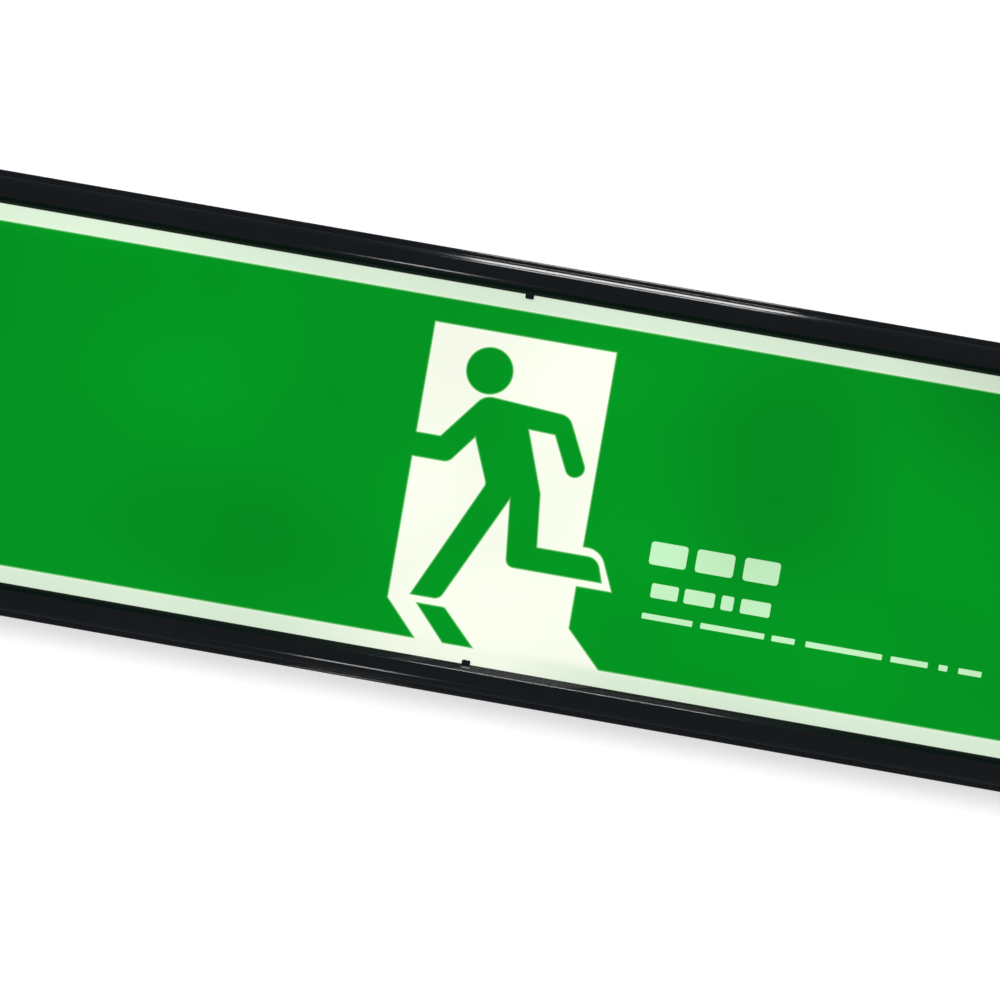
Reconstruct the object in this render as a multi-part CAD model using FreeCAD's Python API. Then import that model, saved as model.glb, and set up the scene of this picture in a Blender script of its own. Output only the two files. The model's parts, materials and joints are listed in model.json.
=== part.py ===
import FreeCAD, Part
import math
import os

# Emergency exit light, long wall format: a wall box with the lamp gear, and a hinged front cover
# that carries a lit face. Millimetres. X to the right as seen from the front, Z up, Y into the wall.
# The origin is the centre of the wall face. "Depth" below is the distance out from the wall.

# Overall form
LENGTH = 600.0
HEIGHT = 200.0
DEPTH = 48.0

# Front bezel, one moulding with a stepped, domed rail
RAIL = 15.0
CORNER_R = 4.0
COVER_WALL = 3.0
SHOULDER_DROP = 3.5
SHOULDER_R = 1.3
STEP_IN = 2.2
STEP_RUN = 0.6
STEP_RISE = 1.2
BEVEL = 3.0
BEVEL_TOP_DROP = 1.3
LIP = 0.8
FACE_DROP = 6.0
RAIL_SKIN = 3.4
SEAT_RIB = 1.4
SEAT_RIB_DEPTH = 2.0
COVER_REAR = 4.0
LUG_W = 3.9
LUG_REACH = 2.0
LUG_T = 2.2
LUG_R = 0.7

# Opal face panel and the printed legend on it
PANEL_T = 3.0
PANEL_LAP = 4.0
PANEL_GAP = 0.4
PRINT_T = 0.3
WHITE_STRIP = 7.5

# Legend: doorway, running figure, head and shadow, about the door's own centre line
DOOR_SHIFT = 1.5
DOOR_W = 83.0
DOOR_TOP = 65.7
DOOR_FOOT = -61.0
DOOR_SKEW = 16.5
HEAD_R = 10.9
HEAD_AT = (-13.6, 48.0)

# Panel clips
CLIP_W = 10.0
CLIP_T = 1.2
CLIP_R = 2.0
CLIP_BOSS_R = 3.0
CLIP_BOSS_IN = 7.7
CLIP_INNER = 14.4
CLIP_RUN_X = 220.0

# Wall housing
FLOOR = 2.5
WALL = 2.2
HOUSING_DEPTH = 34.0
COVER_GAP = 3.0
FLANGE = 2.5
HOUSING_R = 3.0
BOSS_R = 4.0
MOULD_EDGE = 1.0

# Wall screw holes and cable entry
WALL_HOLE_R = 2.5
WALL_HOLE_X = 400.0
WALL_HOLE_Z = 120.0
ACCESS_R = 7.0
ENTRY_X = 30.0
ENTRY_IN = 30.0
ENTRY_HOLE_R = 10.0
ENTRY_PAD_R = 16.0
ENTRY_PAD = 5.0
GROMMET_BORE_R = 6.5
GROMMET_FLANGE_R = 12.5
GROMMET_FLANGE = 1.4
GROMMET_GAP = 0.1
ENTRY_TRAY_R = 9.0

# Hinge on the top edge
HINGE_X = 200.0
HINGE_DEPTH = 3.5
HINGE_CLEAR = 0.4
KNUCKLE_L = 14.0
EAR_L = 6.0
PIN_R = 1.25
PIN_FIT = 0.06

# Catch beads at the bottom edge
CATCH_X = 120.0
CATCH_L = 20.0
BEAD_H = 1.2
BEAD_W = 3.0
BEAD_DEPTH = 25.5
RIDGE_H = 0.8
RIDGE_DEPTH = 30.5
PRY_W = 14.0
PRY_DEPTH = 2.5

# Reflector: flat tray with flared sides, all of sheet
TRAY_DEPTH = 8.0
SHEET = 0.8
SIDE_FOOT = 3.0
TRAY_RIM_DEPTH = 32.5
TRAY_GAP = 0.8
TRAY_FLARE = 8.0
TRAY_SCREW_IN = 6.0

# Screws
SCREW_HEAD_R = 2.6
SCREW_TOP_R = 2.0
SCREW_HEAD = 1.8
SCREW_R = 1.4
SCREW_FIT = 0.1
SCREW_BITE = 4.0

# Lamp bars
ROW_CLEAR = 2.2
BAR_H = 12.0
BAR_T = 1.6
LAMP_PITCH = 30.0
CHIP_W = 5.6
CHIP_H = 5.0
CHIP_T = 1.9
BAR_END = 7.5
BAR_GAP = 2.0

# Circuit boards
BOARD_T = 1.6
SPACER_H = 5.0
SPACER_R = 3.0
DRIVER_X = -120.0
DRIVER_IN = 2.0
DRIVER_W = 120.0
DRIVER_H = 34.0
BOARD_HOLE_IN = 4.5
CORE_W = 22.0
CORE_H = 12.0
CORE_D = 12.0
CORE_LEG = 4.0
COIL_H = 22.0
COIL_GAP = 0.1
BOBBIN_T = 1.6
BOBBIN_IN = 1.5
COIL_EDGE_R = 1.2
CAN_BIG_R = 5.0
CAN_BIG_H = 14.0
CAN_SMALL_R = 4.0
CAN_SMALL_H = 12.5
CAN_GAP = 8.0
CAN_OFFSET = 5.0
SOCKET_W = 10.0
SOCKET_H = 6.0
SOCKET_D = 7.0
SOCKET_WALL = 1.2
SOCKET_FLOOR = 2.0
SOCKET_PITCH = 12.0
SOCKET_IN = 11.0

# Battery pack and its cradle
CELL_R = 7.1
CELL_L = 50.5
CELL_GAP = 0.2
BATTERY_X = 119.0
BATTERY_Z = 33.0
CRADLE_T = 2.0
CRADLE_END = 14.0
CRADLE_SIDE = 7.0
STRAP_W = 10.0
STRAP_T = 1.2
STRAP_FOOT = 7.0

# Mains terminal block
BLOCK_X = 74.0
POLES = 3
POLE_PITCH = 12.0
BLOCK_H = 20.0
BLOCK_D = 15.0
POLE_WELL_R = 3.2
POLE_WELL = 4.0
WIRE_R = 2.2
PEG_R = 1.8
PEG_L = 2.4

# Test button and signal lamps
SIGNAL_END = 100.0
SIGNAL_W = 54.0
SIGNAL_H = 18.0
SIGNAL_EDGE = 1.8
PAD_W = 48.0
PAD_H = 15.0
PAD_T = 0.8
BAY_W = 60.0
BAY_CLEAR = 3.0
BUTTON_SHIFT = 12.0
BUTTON_R = 4.0
BUTTON_FIT = 0.25
BUTTON_STAND = 2.8
BUTTON_TRAVEL = 2.0
BUTTON_FLANGE = 1.2
BUTTON_FLANGE_R = 5.2
BUTTON_EDGE_R = 0.8
STEM_R = 1.8
STEM_FIT = 0.2
STEM_IN = 2.6
SWITCH_W = 11.0
SWITCH_H = 9.0
SWITCH_FRONT = 3.6
MOVE_CLEAR = 0.3
LAMP_SHIFTS = (-16.0, -4.0)
LAMP_R = 2.5
LAMP_FIT = 0.1
LAMP_STAND = 0.6
LAMP_BLOCK = 6.0
LAMP_BLOCK_H = 5.0

# Derived places
FACE = DEPTH - FACE_DROP                    # depth of the panel's front
PANEL_BACK = FACE - PANEL_T
SHOULDER = DEPTH - SHOULDER_DROP
BOX_X = LENGTH / 2 - COVER_WALL - COVER_GAP  # half sizes of the housing's walls
BOX_Z = HEIGHT / 2 - COVER_WALL - COVER_GAP
HINGE_Z = HEIGHT / 2 - COVER_WALL
HINGE_R = COVER_GAP - HINGE_CLEAR
PIN_L = KNUCKLE_L + 2 * (HINGE_CLEAR + EAR_L)
TRAY_FRONT = TRAY_DEPTH + SHEET
BOARD_BACK = TRAY_FRONT + SPACER_H
BOARD_FRONT = BOARD_BACK + BOARD_T
SIGNAL_X = LENGTH / 2 - SIGNAL_END
SIGNAL_DEPTH = BOARD_FRONT + BUTTON_FLANGE_R + 2 * MOVE_CLEAR
BAY_FRONT = SIGNAL_DEPTH + PAD_H / 2 + BAY_CLEAR
SIGNAL_Z = -(BOX_Z - WALL - SIGNAL_EDGE) + SIGNAL_H / 2
TRAY_X = BOX_X - WALL - TRAY_GAP - TRAY_FLARE  # half sizes of the tray's flat bottom
TRAY_Z = BOX_Z - WALL - TRAY_GAP - TRAY_FLARE
ENTRY_Z = -BOX_Z + ENTRY_IN
DRIVER_Z = -TRAY_Z + SHEET + DRIVER_IN + DRIVER_H / 2
BAR_ROW_Z = -DRIVER_Z - DRIVER_H / 2 - ROW_CLEAR - BAR_H / 2
STRAP_HALF = 2 * CELL_R + CELL_GAP + CRADLE_T + STRAP_T + STRAP_FOOT
THROUGH = 1.0                               # how far a cutting tool passes beyond what it cuts


def slab(x0, x1, d0, d1, z0, z1):
    """Box between two places in X, in depth and in Z."""
    return Part.makeBox(x1 - x0, d1 - d0, z1 - z0, FreeCAD.Vector(x0, -d1, z0))


def rod(x, z, d0, d1, radius):
    """Round bar standing out from the wall."""
    return Part.makeCylinder(radius, d1 - d0, FreeCAD.Vector(x, -d0, z), FreeCAD.Vector(0, -1, 0))


def rod_x(x0, x1, depth, z, radius):
    """Round bar lying along X."""
    return Part.makeCylinder(radius, x1 - x0, FreeCAD.Vector(x0, -depth, z), FreeCAD.Vector(1, 0, 0))


def rod_z(x, depth, z0, z1, radius):
    """Round bar standing along Z."""
    return Part.makeCylinder(radius, z1 - z0, FreeCAD.Vector(x, -depth, z0), FreeCAD.Vector(0, 0, 1))


def joined(shapes):
    """One solid from shapes that meet."""
    whole = shapes[0].fuse(shapes[1:]) if len(shapes) > 1 else shapes[0]
    return whole.removeSplitter()


def rounded_wire(corners, place):
    """Closed outline through corners (a, b, radius); place turns (a, b) into a point in space."""
    starts = []
    edges = []
    for i, (a, b, radius) in enumerate(corners):
        here = FreeCAD.Vector(a, b, 0)
        before = FreeCAD.Vector(*corners[i - 1][:2], 0) - here
        after = FreeCAD.Vector(*corners[(i + 1) % len(corners)][:2], 0) - here
        if radius == 0:
            starts.append((here, here))
            continue
        before.normalize()
        after.normalize()
        half = before.getAngle(after) / 2
        reach = radius / math.tan(half)
        bisector = (before + after).normalize()
        middle = here + bisector * (radius / math.sin(half) - radius)
        first = here + before * reach
        last = here + after * reach
        edges.append(Part.Arc(place(first), place(middle), place(last)).toShape())
        starts.append((first, last))
    for i, (_, leave) in enumerate(starts):
        arrive = starts[(i + 1) % len(starts)][0]
        if (arrive - leave).Length > 1e-6:
            edges.append(Part.LineSegment(place(leave), place(arrive)).toShape())
    return Part.Wire(Part.__sortEdges__(edges))


def plate(corners, d0, d1):
    """Flat piece with its outline in X and Z, between two depths."""
    wire = rounded_wire(corners, lambda p: FreeCAD.Vector(p.x, -d0, p.y))
    return Part.Face(wire).extrude(FreeCAD.Vector(0, d0 - d1, 0))


def rectangle(x, z, half_x, half_z, radius=0):
    """Corners of a rectangle about a centre."""
    return [
        (x - half_x, z - half_z, radius),
        (x + half_x, z - half_z, radius),
        (x + half_x, z + half_z, radius),
        (x - half_x, z + half_z, radius),
    ]


def export(name, shapes):
    """Write one node: one solid, or several alike as a group."""
    shape = shapes if isinstance(shapes, Part.Shape) else Part.makeCompound(shapes)
    shape.exportStep(f"parts/{name}.step")


def screw(x, z, seat, bite, out=1):
    """Pan-head screw: head on the seat, on its side away from the wall, or with out -1 towards it."""
    way = FreeCAD.Vector(0, -out, 0)
    place = FreeCAD.Vector(x, -seat, z)
    head = Part.makeCone(SCREW_HEAD_R, SCREW_TOP_R, SCREW_HEAD, place, way)
    return head.fuse(Part.makeCylinder(SCREW_R, bite, place, way * -1))


# ---------------------------------------------------------------- wall housing

def tray_screw_places():
    reach_x = TRAY_X - TRAY_SCREW_IN
    reach_z = TRAY_Z - TRAY_SCREW_IN
    return [(x, z) for z in (-reach_z, reach_z) for x in (-reach_x, 0, reach_x)]


def wall_hole_places():
    return [(x, z) for x in (-WALL_HOLE_X / 2, WALL_HOLE_X / 2) for z in (-WALL_HOLE_Z / 2, WALL_HOLE_Z / 2)]


def ridge(x, depth, z, height, width, up):
    """Low rounded bar along X on a flat wall, standing up or down from it."""
    way = 1 if up else -1
    ends = [FreeCAD.Vector(x - CATCH_L / 2, -depth + side * width / 2, z) for side in (-1, 1)]
    crest = FreeCAD.Vector(x - CATCH_L / 2, -depth, z + way * height)
    arc = Part.Arc(ends[0], crest, ends[1]).toShape()
    root = [end - FreeCAD.Vector(0, 0, way * height) for end in ends]
    base = Part.makePolygon([ends[1], root[1], root[0], ends[0]])
    return Part.Face(Part.Wire([arc] + base.Edges)).extrude(FreeCAD.Vector(CATCH_L, 0, 0))


def housing_knuckle(x):
    """Middle knuckle of a hinge, standing on the housing's top wall."""
    half = KNUCKLE_L / 2
    barrel = rod_x(x - half, x + half, HINGE_DEPTH, HINGE_Z, HINGE_R)
    web = slab(x - half, x + half, HINGE_DEPTH - HINGE_R, HINGE_DEPTH + HINGE_R, BOX_Z - WALL, HINGE_Z)
    return barrel.fuse(web)


def ear_pocket(x, side):
    """Room in the rear flange for one ear of the cover."""
    near = KNUCKLE_L / 2
    far = PIN_L / 2 + HINGE_CLEAR
    x0, x1 = sorted((x + side * near, x + side * far))
    return slab(x0, x1, -THROUGH, FLOOR + THROUGH, BOX_Z, BOX_Z + FLANGE + THROUGH)


def back_housing():
    """Moulded wall box: floor with flange, four walls, screw bosses, hinge knuckles, button pad."""
    floor = plate(rectangle(0, 0, BOX_X + FLANGE, BOX_Z + FLANGE, CORNER_R), 0, FLOOR)
    pockets = [ear_pocket(x, side) for x in (-HINGE_X, HINGE_X) for side in (-1, 1)]
    floor = floor.cut(pockets)
    outer = plate(rectangle(0, 0, BOX_X, BOX_Z, HOUSING_R), 0, HOUSING_DEPTH)
    inner = plate(rectangle(0, 0, BOX_X - WALL, BOX_Z - WALL, HOUSING_R - WALL), FLOOR, DEPTH)
    pad = slab(SIGNAL_X - PAD_W / 2, SIGNAL_X + PAD_W / 2, SIGNAL_DEPTH - PAD_H / 2,
               SIGNAL_DEPTH + PAD_H / 2, -BOX_Z - PAD_T, -BOX_Z + WALL)
    bosses = [rod(x, z, FLOOR / 2, TRAY_DEPTH, BOSS_R) for x, z in tray_screw_places()]
    entry = rod(ENTRY_X, ENTRY_Z, FLOOR / 2, ENTRY_PAD, ENTRY_PAD_R)
    ridges = [ridge(x, RIDGE_DEPTH, -BOX_Z, RIDGE_H, BEAD_W, False) for x in (-CATCH_X, CATCH_X)]
    knuckles = [housing_knuckle(x) for x in (-HINGE_X, HINGE_X)]
    body = joined([outer.cut(inner), floor, pad, entry] + bosses + ridges + knuckles)
    holes = [rod(x, z, -THROUGH, DEPTH, WALL_HOLE_R) for x, z in wall_hole_places()]
    holes += [rod(x, z, TRAY_DEPTH - SCREW_BITE, DEPTH, SCREW_R + SCREW_FIT) for x, z in tray_screw_places()]
    holes.append(rod(ENTRY_X, ENTRY_Z, -THROUGH, DEPTH, ENTRY_HOLE_R))
    holes.append(rod(ENTRY_X, ENTRY_Z, -THROUGH, GROMMET_FLANGE + 2 * GROMMET_GAP,
                     GROMMET_FLANGE_R + GROMMET_GAP))
    low = -BOX_Z - PAD_T - THROUGH
    high = -BOX_Z + WALL + THROUGH
    holes.append(rod_z(SIGNAL_X + BUTTON_SHIFT, SIGNAL_DEPTH, low, high, BUTTON_R + BUTTON_FIT))
    holes += [rod_z(SIGNAL_X + shift, SIGNAL_DEPTH, low, high, LAMP_R + LAMP_FIT) for shift in LAMP_SHIFTS]
    holes += [rod_x(x - PIN_L / 2, x + PIN_L / 2, HINGE_DEPTH, HINGE_Z, PIN_R + PIN_FIT)
              for x in (-HINGE_X, HINGE_X)]
    return body.cut(holes)


def cable_grommet():
    """Rubber grommet: a flange on each side of the floor pad and a neck through it."""
    back = rod(ENTRY_X, ENTRY_Z, GROMMET_GAP, GROMMET_GAP + GROMMET_FLANGE, GROMMET_FLANGE_R)
    neck = rod(ENTRY_X, ENTRY_Z, GROMMET_GAP, ENTRY_PAD + GROMMET_GAP, ENTRY_HOLE_R - GROMMET_GAP)
    front = rod(ENTRY_X, ENTRY_Z, ENTRY_PAD + GROMMET_GAP, ENTRY_PAD + GROMMET_GAP + GROMMET_FLANGE,
                GROMMET_FLANGE_R)
    return joined([back, neck, front]).cut(rod(ENTRY_X, ENTRY_Z, -THROUGH, DEPTH, GROMMET_BORE_R))


# ---------------------------------------------------------------- reflector and lamps

def bar_length(count):
    return (count - 1) * LAMP_PITCH + 2 * BAR_END


def bar_columns():
    """Columns of bars: two to the left of the battery and one to its right, as (middle, lamps)."""
    low = -TRAY_X + SHEET + BAR_GAP
    high = TRAY_X - SHEET - BAR_GAP
    battery_left = BATTERY_X - STRAP_HALF - BAR_GAP
    battery_right = BATTERY_X + STRAP_HALF + BAR_GAP
    middle = (low + battery_left) / 2
    spans = [(low, middle - BAR_GAP), (middle + BAR_GAP, battery_left), (battery_right, high)]
    return [((x0 + x1) / 2, 1 + int((x1 - x0 - 2 * BAR_END) / LAMP_PITCH)) for x0, x1 in spans]


def bar_screw_places():
    places = []
    for x, count in bar_columns():
        for z in (-BAR_ROW_Z, BAR_ROW_Z):
            reach = (count - 2) * LAMP_PITCH / 2
            places += [(x - reach, z), (x + reach, z)]
    return places


def chip_places():
    return [(x + (i - (count - 1) / 2) * LAMP_PITCH, z)
            for x, count in bar_columns() for z in (-BAR_ROW_Z, BAR_ROW_Z) for i in range(count)]


def driver_screw_places():
    reach_x = DRIVER_W / 2 - BOARD_HOLE_IN
    reach_z = DRIVER_H / 2 - BOARD_HOLE_IN
    return [(DRIVER_X + sx * reach_x, DRIVER_Z + sz * reach_z) for sx in (-1, 1) for sz in (-1, 1)]


def signal_screw_places():
    reach = SIGNAL_W / 2 - BOARD_HOLE_IN
    z = SIGNAL_Z + SIGNAL_H / 2 - BOARD_HOLE_IN
    return [(SIGNAL_X + side * reach, z) for side in (-1, 1)]


def board_screw_places():
    return driver_screw_places() + signal_screw_places()


def strap_screw_places():
    reach = STRAP_HALF - STRAP_FOOT / 2
    return [(BATTERY_X + side * reach, BATTERY_Z) for side in (-1, 1)]


def peg_places():
    reach = (POLES - 1) * POLE_PITCH / 2
    return [(BLOCK_X + side * reach, ENTRY_Z) for side in (-1, 1)]


def reflector_tray():
    """Flat white sheet that carries the lamps and the boards, with its holes."""
    screws = tray_screw_places() + bar_screw_places() + board_screw_places() + strap_screw_places()
    cuts = [rod(x, z, 0, TRAY_FRONT + THROUGH, SCREW_R + SCREW_FIT) for x, z in screws]
    cuts += [rod(x, z, 0, TRAY_FRONT + THROUGH, ACCESS_R) for x, z in wall_hole_places()]
    cuts += [rod(x, z, 0, TRAY_FRONT + THROUGH, PEG_R + SCREW_FIT) for x, z in peg_places()]
    cuts.append(rod(ENTRY_X, ENTRY_Z, 0, TRAY_FRONT + THROUGH, ENTRY_TRAY_R))
    return plate(rectangle(0, 0, TRAY_X, TRAY_Z), TRAY_DEPTH, TRAY_FRONT).cut(cuts)


def reflector_side(half_run, half_across):
    """One flared side along X: a foot on the tray's edge, a leaning face, ends mitred to its neighbours."""
    edge = half_across
    foot = TRAY_FRONT + SHEET
    section = [(edge - SIDE_FOOT, TRAY_FRONT), (edge, TRAY_FRONT), (edge + TRAY_FLARE, TRAY_RIM_DEPTH),
               (edge + TRAY_FLARE - SHEET, TRAY_RIM_DEPTH), (edge - SHEET, foot), (edge - SIDE_FOOT, foot)]
    reach = half_run + TRAY_FLARE
    points = [FreeCAD.Vector(-reach, -depth, z) for z, depth in section]
    bar = Part.Face(Part.makePolygon(points + points[:1])).extrude(FreeCAD.Vector(2 * reach, 0, 0))
    outer = edge + TRAY_FLARE
    inner = edge - SIDE_FOOT
    drop = outer - inner
    wedge = [(-reach, outer, 0), (reach, outer, 0), (reach - drop, inner, 0), (-reach + drop, inner, 0)]
    return bar.common(plate(wedge, 0, DEPTH))


def reflector_sides():
    """The four sides, with the lower one parted beside the test button and signal lamps."""
    quarter = FreeCAD.Vector(0, 1, 0)
    origin = FreeCAD.Vector(0, 0, 0)
    sides = []
    for shape, turn in ((reflector_side(TRAY_X, TRAY_Z), 0), (reflector_side(TRAY_Z, TRAY_X), 90)):
        for angle in (turn, turn + 180):
            side = shape.copy()
            side.rotate(origin, quarter, angle)
            sides.append(side)
    bay = slab(SIGNAL_X - BAY_W / 2, SIGNAL_X + BAY_W / 2, 0, DEPTH, -BOX_Z, -TRAY_Z + SIDE_FOOT + THROUGH)
    return [solid for side in sides for solid in side.cut(bay).Solids]


def led_bars():
    """Circuit bars, two rows, with a clearance hole for each screw."""
    bars = []
    for x, count in bar_columns():
        for z in (-BAR_ROW_Z, BAR_ROW_Z):
            half = bar_length(count) / 2
            low = z - BAR_H / 2
            bars.append(slab(x - half, x + half, TRAY_FRONT, TRAY_FRONT + BAR_T, low, low + BAR_H))
    holes = [rod(x, z, 0, DEPTH, SCREW_R + SCREW_FIT) for x, z in bar_screw_places()]
    return [bar.cut(holes) for bar in bars]


def led_chip(x, z):
    """Square lamp package on a bar."""
    seat = TRAY_FRONT + BAR_T
    return slab(x - CHIP_W / 2, x + CHIP_W / 2, seat, seat + CHIP_T, z - CHIP_H / 2, z + CHIP_H / 2)


# ---------------------------------------------------------------- driver board and battery

def driver_board():
    board = slab(DRIVER_X - DRIVER_W / 2, DRIVER_X + DRIVER_W / 2, BOARD_BACK, BOARD_FRONT,
                 DRIVER_Z - DRIVER_H / 2, DRIVER_Z + DRIVER_H / 2)
    return board.cut([rod(x, z, 0, DEPTH, SCREW_R + SCREW_FIT) for x, z in driver_screw_places()])


def board_spacer(x, z):
    """Hexagonal spacer between the tray and a board, with a clearance hole."""
    corners = [(x + SPACER_R * math.cos(math.pi * i / 3), z + SPACER_R * math.sin(math.pi * i / 3), 0)
               for i in range(6)]
    return plate(corners, TRAY_FRONT, BOARD_BACK).cut(rod(x, z, 0, DEPTH, SCREW_R + SCREW_FIT))


def transformer_parts():
    """Wound bobbin on the board, and the ferrite core whose window it fills."""
    foot = BOARD_FRONT + BOBBIN_T
    base = slab(DRIVER_X - CORE_W / 2, DRIVER_X + CORE_W / 2, BOARD_FRONT, foot,
                DRIVER_Z - COIL_H / 2, DRIVER_Z + COIL_H / 2)
    half = CORE_W / 2 - CORE_LEG
    leg = CORE_LEG / 2
    core = slab(DRIVER_X - CORE_W / 2, DRIVER_X + CORE_W / 2, foot, foot + CORE_D,
                DRIVER_Z - CORE_H / 2, DRIVER_Z + CORE_H / 2)
    window = slab(DRIVER_X - half, DRIVER_X + half, foot + leg, foot + CORE_D - leg,
                  DRIVER_Z - COIL_H, DRIVER_Z + COIL_H)
    gap = COIL_GAP
    coil = slab(DRIVER_X - half + gap, DRIVER_X + half - gap, foot + leg + gap, foot + CORE_D - leg - gap,
                DRIVER_Z - COIL_H / 2, DRIVER_Z + COIL_H / 2)
    coil = coil.makeFillet(COIL_EDGE_R, [e for e in coil.Edges if e.BoundBox.ZLength < 1e-6])
    low = DRIVER_Z - COIL_H / 2 + BOBBIN_IN
    high = DRIVER_Z + COIL_H / 2 - BOBBIN_IN - BOBBIN_T
    ends = [slab(DRIVER_X - half + gap, DRIVER_X + half - gap, foot - BOBBIN_T / 2, foot + leg + CORE_LEG / 2,
                 z0, z0 + BOBBIN_T) for z0 in (low, high)]
    return core.cut(window), joined([base, coil] + ends)


def capacitors():
    """Standing electrolytic capacitors: a large one beside the transformer, a small one by each socket."""
    inside = DRIVER_W / 2 - SOCKET_IN - SOCKET_W / 2
    first = CORE_W / 2 + CAN_GAP + CAN_BIG_R
    second = inside - CAN_GAP / 2 - CAN_SMALL_R
    other = SOCKET_PITCH - inside + CAN_GAP / 2 + CAN_SMALL_R
    cans = [(first, CAN_OFFSET, CAN_BIG_R, CAN_BIG_H), (second, -CAN_OFFSET, CAN_SMALL_R, CAN_SMALL_H),
            (other, CAN_OFFSET, CAN_SMALL_R, CAN_SMALL_H)]
    return [rod(DRIVER_X + x, DRIVER_Z + z, BOARD_FRONT, BOARD_FRONT + high, radius)
            for x, z, radius, high in cans]


def board_sockets():
    """Plug sockets at both ends of the board: a small open box each."""
    end = DRIVER_W / 2 - SOCKET_IN
    wall = SOCKET_WALL
    sockets = []
    for x in (DRIVER_X - end, DRIVER_X - end + SOCKET_PITCH, DRIVER_X + end):
        x0, x1 = x - SOCKET_W / 2, x + SOCKET_W / 2
        z0, z1 = DRIVER_Z - SOCKET_H / 2, DRIVER_Z + SOCKET_H / 2
        body = slab(x0, x1, BOARD_FRONT, BOARD_FRONT + SOCKET_D, z0, z1)
        mouth = slab(x0 + wall, x1 - wall, BOARD_FRONT + SOCKET_FLOOR, DEPTH, z0 + wall, z1 - wall)
        sockets.append(body.cut(mouth))
    return sockets


def battery_cells():
    seat = TRAY_FRONT + CRADLE_T + CELL_R + CELL_GAP
    step = CELL_R + CELL_GAP / 2
    return [rod_z(BATTERY_X + side * step, seat, BATTERY_Z - CELL_L / 2, BATTERY_Z + CELL_L / 2, CELL_R)
            for side in (-1, 1)]


def battery_holder():
    """Cradle: floor, two end walls and two low side rails."""
    inner_x = 2 * CELL_R + CELL_GAP
    inner_z = CELL_L / 2 + CELL_GAP
    x0, x1 = BATTERY_X - inner_x - CRADLE_T, BATTERY_X + inner_x + CRADLE_T
    z0, z1 = BATTERY_Z - inner_z - CRADLE_T, BATTERY_Z + inner_z + CRADLE_T
    pieces = [slab(x0, x1, TRAY_FRONT, TRAY_FRONT + CRADLE_T, z0, z1)]
    end, side = TRAY_FRONT + CRADLE_END, TRAY_FRONT + CRADLE_SIDE
    pieces += [slab(x0, x1, TRAY_FRONT, end, z, z + CRADLE_T) for z in (z0, z1 - CRADLE_T)]
    pieces += [slab(x, x + CRADLE_T, TRAY_FRONT, side, z0, z1) for x in (x0, x1 - CRADLE_T)]
    return joined(pieces)


def battery_strap():
    """Bent strap over the cells, with a screwed foot on each side."""
    half = 2 * CELL_R + CELL_GAP + CRADLE_T
    top = TRAY_FRONT + CRADLE_T + 2 * CELL_R + 2 * CELL_GAP
    z0, z1 = BATTERY_Z - STRAP_W / 2, BATTERY_Z + STRAP_W / 2
    pieces = [slab(BATTERY_X - half - STRAP_T, BATTERY_X + half + STRAP_T, top, top + STRAP_T, z0, z1)]
    for side in (-1, 1):
        x0, x1 = sorted((BATTERY_X + side * half, BATTERY_X + side * (half + STRAP_T)))
        pieces.append(slab(x0, x1, TRAY_FRONT, top + STRAP_T, z0, z1))
        x0, x1 = sorted((BATTERY_X + side * half, BATTERY_X + side * STRAP_HALF))
        pieces.append(slab(x0, x1, TRAY_FRONT, TRAY_FRONT + STRAP_T, z0, z1))
    strap = joined(pieces)
    return strap.cut([rod(x, z, 0, DEPTH, SCREW_R + SCREW_FIT) for x, z in strap_screw_places()])


# ---------------------------------------------------------------- terminal block

def pole_places():
    return [BLOCK_X + (i - (POLES - 1) / 2) * POLE_PITCH for i in range(POLES)]


def terminal_block():
    """Three-pole block on two pegs, with screw wells in front and wire mouths above and below."""
    half = POLES * POLE_PITCH / 2
    front = TRAY_FRONT + BLOCK_D
    low = ENTRY_Z - BLOCK_H / 2
    body = slab(BLOCK_X - half, BLOCK_X + half, TRAY_FRONT, front, low, low + BLOCK_H)
    pegs = [rod(x, z, TRAY_DEPTH - PEG_L, TRAY_FRONT + THROUGH, PEG_R) for x, z in peg_places()]
    cuts = []
    for x in pole_places():
        cuts.append(rod(x, ENTRY_Z, front - POLE_WELL, front + THROUGH, POLE_WELL_R))
        for end in (-1, 1):
            z0, z1 = sorted((ENTRY_Z + end * BLOCK_H / 4, ENTRY_Z + end * BLOCK_H))
            cuts.append(rod_z(x, TRAY_FRONT + BLOCK_D / 3, z0, z1, WIRE_R))
    return joined([body] + pegs).cut(cuts)


def terminal_screws():
    seat = TRAY_FRONT + BLOCK_D - POLE_WELL
    return [rod(x, ENTRY_Z, seat, seat + SCREW_HEAD, SCREW_HEAD_R) for x in pole_places()]


# ---------------------------------------------------------------- test button and signal lamps

def signal_board():
    board = slab(SIGNAL_X - SIGNAL_W / 2, SIGNAL_X + SIGNAL_W / 2, BOARD_BACK, BOARD_FRONT,
                 SIGNAL_Z - SIGNAL_H / 2, SIGNAL_Z + SIGNAL_H / 2)
    return board.cut([rod(x, z, 0, DEPTH, SCREW_R + SCREW_FIT) for x, z in signal_screw_places()])


WALL_INSIDE = -BOX_Z + WALL
FLANGE_LOW = WALL_INSIDE + MOVE_CLEAR
SWITCH_LOW = FLANGE_LOW + BUTTON_FLANGE + BUTTON_TRAVEL + 2 * MOVE_CLEAR


def test_switch():
    """Switch body on the signal board, with a bore for the button's stem."""
    x = SIGNAL_X + BUTTON_SHIFT
    body = slab(x - SWITCH_W / 2, x + SWITCH_W / 2, BOARD_FRONT, SIGNAL_DEPTH + SWITCH_FRONT,
                SWITCH_LOW, SWITCH_LOW + SWITCH_H)
    bore = STEM_IN + BUTTON_TRAVEL + MOVE_CLEAR
    return body.cut(rod_z(x, SIGNAL_DEPTH, SWITCH_LOW - THROUGH, SWITCH_LOW + bore, STEM_R + STEM_FIT))


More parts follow.
